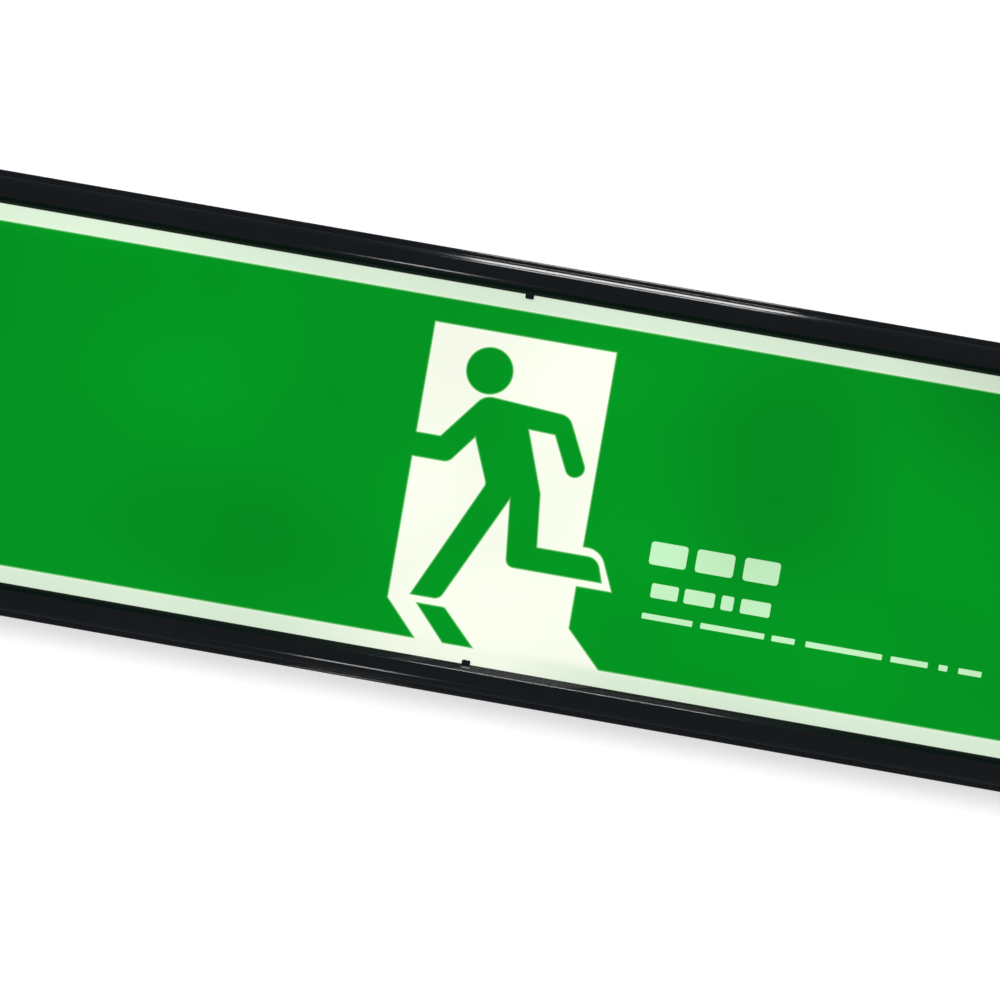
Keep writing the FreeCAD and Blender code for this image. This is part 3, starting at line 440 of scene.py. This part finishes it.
PAD = (1.3, 0.08, 4.4)  # width, rise and height
PAD_EDGE = 0.03
PAD_OUT = 3.55  # from the middle of a lamp to each of its pads
BAR_FACE = max(high.y for low, high in chips) - PAD[1] / 2 * MM
pad = block(PAD, (0, 0, 0), TINNED)
pick(pad, lambda at, normal: normal.y < -0.9)
bpy.ops.mesh.bevel(offset=PAD_EDGE * MM, segments=1, affect="EDGES")
done()
pads = [(at.x + side * PAD_OUT * MM, BAR_FACE, at.z) for at in chip_places for side in (-1, 1)]
fit(repeated(pad, pads), "lamp_pads", "housing", "plated_steel")

RESISTOR = (3.2, 0.6, 1.6)  # width, rise and height
END_FROM = 0.3  # of its width, from the middle to each tinned end
END_RISE = 0.05


def resistor():
    """A chip resistor: a black body between two tinned ends, its back on y = 0."""
    width, rise, height = RESISTOR
    body = block((width, rise, height), (0, -rise / 2 * MM, 0), BLACK_CHIP, TINNED)
    only(body)
    bpy.ops.object.mode_set(mode="EDIT")
    for side in (-1, 1):
        bpy.ops.mesh.select_all(action="SELECT")
        bpy.ops.mesh.bisect(plane_co=(side * width * END_FROM * MM, 0, 0), plane_no=(1, 0, 0))
    done()
    pick(body, lambda at, normal: abs(at.x) > width * END_FROM * MM)
    paint(body, 1)
    bpy.ops.mesh.extrude_region_shrink_fatten(TRANSFORM_OT_shrink_fatten={"value": END_RISE * MM})
    done()
    return body


SAME_BAR = 31  # neighbours further apart than this are on two bars
BESIDE = (-5.0, 2.5)  # from the middle between two lamps to their resistor, along X and Z
rows = {}
for at in chip_places:
    rows.setdefault(round(at.z, 4), []).append(at)
between = []
for row in rows.values():
    row.sort(key=lambda at: at.x)
    between += [((a.x + b.x) / 2 + BESIDE[0] * MM, BAR_FACE + PAD[1] / 2 * MM, a.z + BESIDE[1] * MM)
                for a, b in zip(row, row[1:]) if b.x - a.x < SAME_BAR * MM]
fit(repeated(resistor(), between), "lamp_resistors", "housing", "white_board")

# ---------------------------------------------------------------- driver board and signal board
# Glass-fibre boards with a green solder mask, on nylon spacers: the driver with its transformer, cans,
# sockets and small parts, and the narrow board behind the test button.

BOARD = moulded("green_board", (0.012, 0.13, 0.05, 1), 0.30, grain=0.1, wear=0.3, pale=0.25, shade=0.10)
dress("driver_board signal_board", BOARD)
NYLON = moulded("white_nylon", (0.72, 0.71, 0.65, 1), 0.42, wear=0.3, pale=0.3, shade=0.04)
dress("board_sockets board_spacers", NYLON)
dress("transformer_core", moulded("ferrite", (0.045, 0.046, 0.050, 1), 0.6, grain=0.8, wear=0.7, pale=0.2))

tape, tree, shader = blank("coil_tape")
surface = put(tree, "ShaderNodeGroup", node_tree=GRAIN)
place = put(tree, "ShaderNodeTexCoord").outputs["Object"]
turns = put(tree, "ShaderNodeTexWave", {"Vector": place, "Scale": 260.0, "Distortion": 0.4},
            bands_direction="Z")
amber = mixed(tree, turns.outputs["Fac"], (0.42, 0.24, 0.02, 1), (0.72, 0.48, 0.06, 1))
tree.links.new(amber, shader.inputs["Base Color"])
surfaced(tree, shader, surface, turns.outputs["Fac"], (0.22, 0.36), 0.4, 3 * FINE)
dress("transformer_coil", tape)

SLEEVE = moulded("capacitor_sleeve", (0.010, 0.012, 0.030, 1), 0.28, grain=0.1, wear=0.0)
STRIPE = moulded("capacitor_stripe", (0.42, 0.44, 0.50, 1), 0.3, grain=0.1, wear=0.0)
ALUMINIUM = moulded("bare_aluminium", (0.70, 0.71, 0.72, 1), 0.30, grain=0.2, Metallic=1.0)
CAN_ROUND = 0.7
CAN_RIM = 0.5
CAN_SCORE = (0.1, 0.2)  # slope and depth of the scored end
CAN_GROOVE = (2.0, 0.4, 0.93)  # from the board, half its width, and how much of the radius is left
STRIPE_FROM = 0.93  # the stripe is where the side faces up at least this much


def groove(piece, centre, way, half, squeeze):
    """Rolls a groove round a piece: three cuts across it, and the middle one drawn in."""
    axis = "XYZ".index(way)
    across = [1 if i == axis else 0 for i in range(3)]
    only(piece)
    bpy.ops.object.mode_set(mode="EDIT")
    for step in (-half, 0.0, half):
        at = [centre[axis] + step * MM if side else 0 for side in across]
        bpy.ops.mesh.select_all(action="SELECT")
        bpy.ops.mesh.bisect(plane_co=at, plane_no=across)
    bpy.ops.mesh.select_mode(type="VERT")
    bpy.ops.mesh.select_all(action="DESELECT")
    mesh = bmesh.from_edit_mesh(piece.data)
    for vert in mesh.verts:
        vert.select_set(abs(vert.co[axis] - centre[axis]) < 0.05 * MM)
    mesh.select_flush(False)
    bpy.ops.transform.resize(value=[1 if side else squeeze for side in across], center_override=centre)
    done()


def capacitor(low, high):
    """A can in a shrunk sleeve: pale stripe down one side, bare scored end, groove near the board."""
    radius = (high.x - low.x) / 2 / MM
    length = (high.y - low.y) / MM
    centre = (low + high) / 2
    can = round_bar(radius, length, centre, 32, "Y", SLEEVE, STRIPE, ALUMINIUM)
    pick(can, lambda at, normal: normal.y < -0.9)
    bpy.ops.mesh.bevel(offset=CAN_ROUND * MM, segments=3, affect="EDGES")
    done()
    pick(can, lambda at, normal: normal.y < -0.99)
    bpy.ops.mesh.inset(thickness=CAN_RIM * MM, depth=0)
    bpy.ops.mesh.inset(thickness=CAN_SCORE[0] * MM, depth=-CAN_SCORE[1] * MM)
    paint(can, 2)
    done()
    from_board, half, left = CAN_GROOVE
    groove(can, Vector((centre.x, high.y - from_board * MM, centre.z)), "Y", half, left)
    pick(can, lambda at, normal: abs(normal.y) < 0.5 and normal.z > STRIPE_FROM)
    paint(can, 1)
    done()
    return can


cans = [capacitor(low, high) for low, high in solids_of("capacitors")]
fit(as_one(cans), "capacitor_cans", "housing", "capacitor_sleeve", "capacitors")

PITCH = 1.27  # between the legs on one side
BODY_PAST, BODY_RISE, BODY_WIDE = 0.6, 1.5, 4.0  # length past the legs, thickness and width
BODY_MIDDLE = 1.05  # above the board
BODY_RIM, BODY_EDGE = 0.25, 0.15
LEG = (0.45, 0.2, 0.7)
LEG_RISE, LEG_OUT = 0.9, 2.3  # where a leg comes out of the case
LEG_BEND = (0.75, 0.25)  # down to the board, and out
LEG_FOOT = 0.6


def controller(pins):
    """A small moulded circuit with bent legs, its back on y = 0."""
    body = block((pins * PITCH + BODY_PAST, BODY_RISE, BODY_WIDE), (0, -BODY_MIDDLE * MM, 0),
                 BLACK_CHIP, TINNED)
    pick(body, lambda at, normal: normal.y < -0.9)
    bpy.ops.mesh.inset(thickness=BODY_RIM * MM, depth=0)
    bpy.ops.mesh.bevel(offset=BODY_EDGE * MM, segments=2, affect="EDGES")
    done()
    legs = []
    for i in range(pins):
        for side in (-1, 1):
            x = (i - (pins - 1) / 2) * PITCH * MM
            leg = block(LEG, (x, -LEG_RISE * MM, side * LEG_OUT * MM), BLACK_CHIP, TINNED)
            pick(leg, lambda at, normal: normal.z * side > 0.9)
            for down, out in (LEG_BEND, (0, LEG_FOOT)):
                bpy.ops.mesh.extrude_region_move(
                    TRANSFORM_OT_translate={"value": (0, down * MM, side * out * MM)})
            done()
            pick(leg, lambda at, normal: True)
            paint(leg, 1)
            done()
            legs.append(leg)
    return as_one([body] + legs)


# places on the driver board, in mm from its left end and from the middle of its height
CONTROLLER_AT = (40, -10)
RESISTORS_AT = [(30, 8), (30, 5), (36, 10), (42, 10), (52, -12), (58, -12), (64, -12), (92, -8), (92, -11),
                (98, 10), (104, 10), (78, 12), (84, 12)]
SIGNAL_RESISTORS = (18, 28)  # on the signal board, from its left end
SIGNAL_DOWN = 8  # and below its top edge
driver_low, driver_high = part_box("driver_board")
signal_low, signal_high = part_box("signal_board")


def on_driver(x, z):
    """A place on the driver board's face."""
    return (driver_low.x + x * MM, driver_low.y, (driver_low.z + driver_high.z) / 2 + z * MM)


fit(repeated(controller(4), [on_driver(*CONTROLLER_AT)]), "driver_controller", "housing", "green_board")
small = [on_driver(x, z) for x, z in RESISTORS_AT]
small += [(signal_low.x + x * MM, signal_low.y, signal_high.z - SIGNAL_DOWN * MM) for x in SIGNAL_RESISTORS]
fit(repeated(resistor(), small), "board_resistors", "housing", "green_board")

# ---------------------------------------------------------------- battery pack
# Two cells in shrunk blue sleeves, in a grey cradle, held down by a bent plated strap. Each cell has a
# rolled groove below its cap and a bare steel end.

GREY = moulded("grey_plastic", (0.20, 0.21, 0.22, 1), 0.42, grain=0.5, wear=0.4)
dress("battery_holder", GREY)
dress("battery_strap", STEEL)
CELL_SLEEVE = moulded("cell_sleeve", (0.012, 0.13, 0.36, 1), 0.22, grain=0.1, wear=0.2, shade=0.06)
CELL_ROUND = 0.8
CELL_RIM = 1.2
CELL_END = (0.2, 0.3)  # slope and depth of the bare end
CELL_GROOVE = (4.2, 0.9, 0.95)  # below the top, half its width, and how much of the radius is left


def cell(low, high):
    """One cell standing along Z: rounded ends, a rolled groove, a bare cap."""
    radius = (high.x - low.x) / 2 / MM
    centre = (low + high) / 2
    body = round_bar(radius, (high.z - low.z) / MM, centre, 40, "Z", CELL_SLEEVE, STEEL)
    pick(body, lambda at, normal: abs(normal.z) > 0.9)
    bpy.ops.mesh.bevel(offset=CELL_ROUND * MM, segments=3, affect="EDGES")
    done()
    pick(body, lambda at, normal: abs(normal.z) > 0.99)
    bpy.ops.mesh.inset(thickness=CELL_RIM * MM, depth=0, use_individual=True)
    bpy.ops.mesh.inset(thickness=CELL_END[0] * MM, depth=-CELL_END[1] * MM, use_individual=True)
    paint(body, 1)
    done()
    below_top, half, left = CELL_GROOVE
    groove(body, Vector((centre.x, centre.y, high.z - below_top * MM)), "Z", half, left)
    return body


cells = [cell(low, high) for low, high in solids_of("battery_cells")]
fit(as_one(cells), "cells", "housing", "cell_sleeve", "battery_cells")

# ---------------------------------------------------------------- terminal block
# Three poles moulded in white nylon on two pegs, with slotted clamp screws down in their wells.

dress("terminal_block", NYLON)
CLAMP_EDGE = 0.3
CLAMP_SLOT = (0.7, 0.8)  # width and depth
clamp_places = [((low.x + high.x) / 2, high.y, (low.z + high.z) / 2) for low, high in
                solids_of("terminal_screws")]
clamp = round_bar(HEAD_R, HEAD_H, (0, -HEAD_H / 2 * MM, 0), 24, "Y", STEEL)
pick(clamp, lambda at, normal: normal.y < -0.9)
bpy.ops.mesh.bevel(offset=CLAMP_EDGE * MM, segments=2, affect="EDGES")
done()
cut_with(clamp, block((2 * HEAD_R + 1, 2 * CLAMP_SLOT[1], CLAMP_SLOT[0]), (0, -HEAD_H * MM, 0), STEEL))
fit(repeated(clamp, clamp_places), "clamp_screws", "housing", "plated_steel", "terminal_screws")

# ---------------------------------------------------------------- test button and signal lamps
# On the underside near the right end: a red push button through the housing's pad, which works a grey
# switch on the small board, and two round lamps beside it, green for mains and red for a fault.

dress("test_switch", GREY)
dress("test_button", moulded("red_button", (0.50, 0.015, 0.012, 1), 0.32, grain=0.3, wear=0.4))


def scaled(tree, value, colour):
    """A colour times a value."""
    made = put(tree, "ShaderNodeVectorMath", operation="SCALE")
    made.inputs[0].default_value = colour[:3]
    tree.links.new(value, made.inputs["Scale"])
    return made.outputs["Vector"]


def lens(name, colour, light):
    """A small coloured lamp: clear coat over a tinted body with a faint light of its own."""
    material, tree, shader = blank(name)
    surface = put(tree, "ShaderNodeGroup", node_tree=GRAIN)
    deep = tuple(c * 0.6 for c in colour[:3]) + (1,)
    tree.links.new(mixed(tree, surface.outputs["Tone"], deep, colour), shader.inputs["Base Color"])
    lit = tuple(c * light for c in colour[:3])
    tree.links.new(scaled(tree, surface.outputs["Tone"], lit), shader.inputs["Emission Color"])
    shader.inputs["Emission Strength"].default_value = 1.0
    surfaced(tree, shader, surface, surface.outputs["Height"], (0.08, 0.16), 0.05)
    shader.inputs["Coat Weight"].default_value = 0.5
    return material


dress("power_lamp", lens("green_lamp", (0.02, 0.42, 0.08, 1), 1.2))
dress("fault_lamp", lens("red_lamp", (0.45, 0.02, 0.015, 1), 0.1))

# ---------------------------------------------------------------- front bezel
# The hinged frame: one moulding in high-gloss black ABS from a polished tool, hung on two steel pins
# along the top edge and caught by two beads at the bottom.

dress("front_bezel", moulded("black_abs", (0.0032, 0.0050, 0.0072, 1), 0.07, grain=0.03, fineness=400.0,
                             wear=0.10, pale=0.05, shade=0.15, soft=0.8, Specular_IOR_Level=0.08))
dress("hinge_pins", STEEL)

# ---------------------------------------------------------------- face panel
# A sheet of opal acrylic, held in the frame by plated clips. The lamps' light through it is painted on as
# its own glow: stronger before the lamps, with painted shadows before the battery and the driver, and
# painted shade in the strip along the frame.

# Pools of light and shadows of the parts behind, painted into the panel's glow.
PAINTED_LIGHT_SPOTS = [  # x, z, half width, half height in mm, and how much more or less light
    (25, 50, 45, 34, 0.10), (12, -60, 60, 34, 0.12), (-35, -15, 30, 40, 0.06),
    (-142, 25, 70, 45, 0.08), (70, 70, 70, 40, 0.06), (-115, -48, 85, 44, -0.14),
    (124, 32, 62, 76, -0.18), (285, 80, 140, 80, -0.32), (-290, 0, 90, 120, -0.10),
    (150, -55, 80, 40, 0.08), (60, -25, 50, 40, 0.10), (0, -84, 60, 12, 0.06),
    (-230, 84, 130, 14, 0.16),
]
# The frame's shade is painted into the glow outside the printed field.
FIELD_X, FIELD_Z = 0.2775, 0.0775  # half size of the printed field; the face is darker outside it
DOOR_FOOT = ((0.1, 0.0, 1.6), (13.0, 0.0, 20.0))  # but less so where the doorway runs out to the frame


def glow_group():
    """The painted glow of the face over X and Z, and how near it is to the frame, where painted shade
    falls.
    """
    tree, given, result = new_group("painted_lamp_glow", [("Swing", "NodeSocketFloat", 1.0)],
                                    [("Glow", "NodeSocketFloat"), ("Strip", "NodeSocketFloat")])
    place = put(tree, "ShaderNodeTexCoord").outputs["Object"]
    broad = put(tree, "ShaderNodeTexNoise", {"Vector": place, "Scale": 14.0, "Detail": 1.0})
    total = ranged(tree, broad.outputs["Fac"], -0.04, 0.04, 0.3, 0.7)
    for x, z, half_x, half_z, amount in PAINTED_LIGHT_SPOTS:
        stretch = (1 / (half_x * MM), 0.0, 1 / (half_z * MM))
        shift = (-x * MM * stretch[0], 0.0, -z * MM * stretch[2])
        moved = put(tree, "ShaderNodeMapping", {"Vector": place, "Location": shift, "Scale": stretch})
        spot = put(tree, "ShaderNodeTexGradient", {"Vector": moved.outputs["Vector"]},
                   gradient_type="SPHERICAL")
        soft = put(tree, "ShaderNodeMapRange", {"Value": spot.outputs["Fac"], "From Min": 0.0,
                                                "From Max": 0.8, "To Min": 0.0, "To Max": amount},
                   interpolation_type="SMOOTHSTEP")
        more = put(tree, "ShaderNodeMath", operation="ADD")
        tree.links.new(total, more.inputs[0])
        tree.links.new(soft.outputs["Result"], more.inputs[1])
        total = more.outputs[0]
    swung = put(tree, "ShaderNodeMath", operation="MULTIPLY_ADD")
    swung.inputs[2].default_value = 1.0
    tree.links.new(total, swung.inputs[0])
    tree.links.new(given["Swing"], swung.inputs[1])
    tree.links.new(swung.outputs[0], result["Glow"])
    parts = put(tree, "ShaderNodeSeparateXYZ", {"Vector": place})
    nearest = put(tree, "ShaderNodeMath", operation="MAXIMUM")
    for i, (axis, field) in enumerate((("X", FIELD_X), ("Z", FIELD_Z))):
        out = put(tree, "ShaderNodeMath", operation="ABSOLUTE")
        tree.links.new(parts.outputs[axis], out.inputs[0])
        past = put(tree, "ShaderNodeMath", operation="SUBTRACT")
        tree.links.new(out.outputs[0], past.inputs[0])
        past.inputs[1].default_value = field
        tree.links.new(past.outputs[0], nearest.inputs[i])
    strip = put(tree, "ShaderNodeMapRange", {"Value": nearest.outputs[0], "From Min": -0.003,
                                             "From Max": 0.002}, interpolation_type="SMOOTHSTEP")
    foot = put(tree, "ShaderNodeMapping", {"Vector": place, "Location": DOOR_FOOT[0],
                                           "Scale": DOOR_FOOT[1]})
    spot = put(tree, "ShaderNodeTexGradient", {"Vector": foot.outputs["Vector"]},
               gradient_type="SPHERICAL")
    kept = ranged(tree, spot.outputs["Fac"], 1.0, 0.25, 0.0, 0.7)
    shown = put(tree, "ShaderNodeMath", operation="MULTIPLY")
    tree.links.new(strip.outputs["Result"], shown.inputs[0])
    tree.links.new(kept, shown.inputs[1])
    tree.links.new(shown.outputs[0], result["Strip"])
    return tree


GLOW = glow_group()


def lit_from_behind(name, base, light, swing, rough, dim=(1, 1, 1), rim=None):
    """Opal acrylic, or ink on it: its own colour and the lamps' light through it, painted on as a glow. The
    light is painted dimmer in the strip, as the frame's shade; rim is a pair of colours for the thin edge
    of the ink, by the mesh's border attribute."""
    material, tree, shader = blank(name)
    surface = put(tree, "ShaderNodeGroup", node_tree=GRAIN)
    surface.inputs["Fineness"].default_value = 700.0
    glow = put(tree, "ShaderNodeGroup", node_tree=GLOW)
    glow.inputs["Swing"].default_value = swing
    deep = tuple(c * 0.94 for c in base[:3]) + (1,)
    own = mixed(tree, surface.outputs["Tone"], deep, base)
    dimmed = tuple(c * d for c, d in zip(light, dim))
    bright = scaled(tree, glow.outputs["Glow"], light)
    through = mixed(tree, glow.outputs["Strip"], bright, scaled(tree, glow.outputs["Glow"], dimmed))
    if rim:
        border = put(tree, "ShaderNodeAttribute", attribute_name="border").outputs["Fac"]
        thin = put(tree, "ShaderNodeMath", operation="POWER")
        tree.links.new(border, thin.inputs[0])
        thin.inputs[1].default_value = 1.6
        own = mixed(tree, thin.outputs[0], own, rim[0])
        through = mixed(tree, thin.outputs[0], through, rim[1])
    tree.links.new(own, shader.inputs["Base Color"])
    tree.links.new(through, shader.inputs["Emission Color"])
    shader.inputs["Emission Strength"].default_value = 1.0
    surfaced(tree, shader, surface, surface.outputs["Height"], (rough, rough * 1.15, 0.3, 0.7), 0.05)
    shader.inputs["Specular IOR Level"].default_value = 0.03
    return material


dress("panel_clips", STEEL)
dress("face_panel", lit_from_behind("opal_acrylic", (0.34, 0.35, 0.32, 1), (0.665, 0.69, 0.585),
                                    0.8, 0.4, dim=(0.66, 0.83, 0.72)))

# ---------------------------------------------------------------- printed legend
# Transparent green ink, screen printed on the panel: the ground with the running figure joined to it,
# the head, and the cast shadow. The ink thins to a paler line along every edge. Where words would
# stand there are plain pale bars.

INK_EDGE = 0.8
GREEN = lit_from_behind("green_ink", (0.0, 0.085, 0.006, 1), (0.0, 0.228, 0.010), 1.15, 0.45,
                        rim=((0.10, 0.26, 0.12, 1), (0.25, 0.60, 0.26, 1)))
ink = node["green_print"].copy()
ink.data = node["green_print"].data.copy()
ink.parent = None
for key in list(ink.keys()):
    del ink[key]
bpy.context.collection.objects.link(ink)
ink.data.materials.clear()
ink.data.materials.append(GREEN)
only(ink)
bpy.ops.object.mode_set(mode="EDIT")
bpy.ops.mesh.select_all(action="SELECT")
bpy.ops.mesh.remove_doubles(threshold=1e-6)
bpy.ops.mesh.customdata_custom_splitnormals_clear()
done()
pick(ink, lambda at, normal: normal.y < -0.9)
bpy.ops.mesh.inset(thickness=INK_EDGE * MM, use_boundary=True, use_even_offset=True)
done()
inner = {v for face in ink.data.polygons if face.select for v in face.vertices}
border = ink.data.attributes.new("border", "FLOAT", "POINT")
for i in range(len(ink.data.vertices)):
    border.data[i].value = 0.0 if i in inner else 1.0
fit(ink, "ink", "cover", "green_ink", "green_print", angle=20)

# bars in place of the words: (left, right, middle height, height) in mm from the door's centre line
ROWS = [
    (-20.5, 10.5, [(73.7, 90.6), (94.8, 112.2), (116.7, 133.0)]),
    (-37.3, 6.6, [(77.0, 89.4), (92.2, 106.1), (109.2, 114.8), (118.1, 131.7)]),
    (-49.3, 2.6, [(74.8, 98.0), (101.7, 131.0), (134.4, 145.0), (150.0, 185.0), (189.0, 206.0),
                  (211.0, 215.0), (220.0, 230.6)]),
]
PALE_INK = lit_from_behind("pale_ink", (0.24, 0.36, 0.24, 1), (0.36, 0.59, 0.35), 0.8, 0.45)
BAR_T = 0.1
BAR_SUNK = 0.03  # how far a bar goes into the ink
BAR_ROUND = 0.14  # rounding of its corners, by its height
ink_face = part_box("green_print")[0].y
bars = []
for z, height, spans in ROWS:
    for left, right in spans:
        at = ((left + right) / 2 * MM, ink_face - (BAR_T / 2 - BAR_SUNK) * MM, z * MM)
        bar = block((right - left, BAR_T, height), at, PALE_INK)
        edges_where(bar, lambda middle, way: abs(way.y) > 0.9)
        bpy.ops.mesh.bevel(offset=height * BAR_ROUND * MM, segments=4, affect="EDGES")
        done()
        bars.append(bar)
fit(as_one(bars), "legend_bars", "cover", "opal_acrylic", angle=20)

# ---------------------------------------------------------------- studio
# A plain white wall behind the light, soft light from all round and from the front, and three strip
# lights that draw the lines along the gloss frame. The camera stands before it, turned a little.

WALL_SIZE = 6
WALL_BEHIND = 0.0006  # gap behind the housing
WALL_LIFT = 0.54  # light of its own, so that it shows as plain white
SKY_ON_MATT, SKY_SEEN = 0.40, 1.0  # brightness of the surroundings, as light and as seen


def direct_rays(tree):
    """1 for rays that see a surface from the camera, in gloss or through something, and 0 otherwise."""
    seen = put(tree, "ShaderNodeLightPath").outputs
    total = seen["Is Camera Ray"]
    for kind in ("Is Glossy Ray", "Is Transmission Ray"):
        either = put(tree, "ShaderNodeMath", operation="MAXIMUM")
        tree.links.new(total, either.inputs[0])
        tree.links.new(seen[kind], either.inputs[1])
        total = either.outputs[0]
    return total


bpy.ops.object.select_all(action="DESELECT")
bpy.ops.mesh.primitive_plane_add(size=WALL_SIZE, location=(0, WALL_BEHIND, 0),
                                 rotation=(math.radians(90), 0, 0))
wall = bpy.context.object
wall.name = "studio_wall"
material, tree, _ = blank("studio_white")
tree.nodes.remove(tree.nodes["Principled BSDF"])
behind = put(tree, "ShaderNodeNewGeometry").outputs["Backfacing"]
matt = put(tree, "ShaderNodeBsdfDiffuse", {"Color": (0.8, 0.8, 0.8, 1)})
lift = put(tree, "ShaderNodeEmission", {"Color": (1, 1, 1, 1), "Strength": WALL_LIFT})
lit = put(tree, "ShaderNodeAddShader")
tree.links.new(matt.outputs[0], lit.inputs[0])
tree.links.new(lift.outputs[0], lit.inputs[1])
clear = put(tree, "ShaderNodeBsdfTransparent")
front = put(tree, "ShaderNodeMath", operation="SUBTRACT", use_clamp=True)
tree.links.new(direct_rays(tree), front.inputs[0])
tree.links.new(behind, front.inputs[1])
either = put(tree, "ShaderNodeMixShader")
tree.links.new(front.outputs[0], either.inputs[0])
tree.links.new(clear.outputs[0], either.inputs[1])
tree.links.new(lit.outputs[0], either.inputs[2])
tree.links.new(either.outputs[0], tree.nodes["Material Output"].inputs["Surface"])
wall.data.materials.append(material)

world = bpy.data.worlds.new("studio")
bpy.context.scene.world = world
world.use_nodes = True
sky = world.node_tree
strength = ranged(sky, direct_rays(sky), SKY_ON_MATT, SKY_SEEN)
sky.nodes["Background"].inputs["Color"].default_value = (1, 1, 1, 1)
sky.links.new(strength, sky.nodes["Background"].inputs["Strength"])


def softbox(name, at, aim, width, height, level, shine):
    """A rectangular lamp at a place, turned to a point; level is its brightness as a surface. One that
    shines is seen in gloss only, and the others light the object without being seen in it."""
    lamp = bpy.data.lights.new(name, "AREA")
    lamp.shape = "RECTANGLE"
    lamp.size, lamp.size_y = width, height
    lamp.energy = level * width * height * math.pi
    holder = bpy.data.objects.new(name, lamp)
    bpy.context.collection.objects.link(holder)
    holder.location = at
    holder.rotation_euler = (Vector(aim) - Vector(at)).to_track_quat("-Z", "Y").to_euler()
    holder.visible_glossy = shine
    holder.visible_diffuse = not shine


softbox("strip_overhead", (0.043, -0.21, 1.20), (0.043, -0.21, 0), 0.24, 0.27, 85, True)
softbox("strip_above", (0.035, -0.594, 1.20), (0.035, -0.10, 0), 0.23, 0.10, 105, True)
softbox("strip_below", (-0.178, -1.75, -1.55), (0, 0, 0), 0.093, 0.25, 80, True)
softbox("front_softbox", (-0.1, -1.85, 0.36), (0, 0, 0), 1.2, 0.46, 8.6, False)

camera = bpy.data.cameras.new("camera")
camera.lens = 144
camera.sensor_width = 36
holder = bpy.data.objects.new("camera", camera)
bpy.context.collection.objects.link(holder)
holder.location = (0.04935, -1.85465, 0.03445)
holder.rotation_euler = [math.radians(a) for a in (88.6098, -9.8918, 1.7193)]
bpy.context.scene.camera = holder
bpy.context.scene.view_settings.view_transform = "Standard"
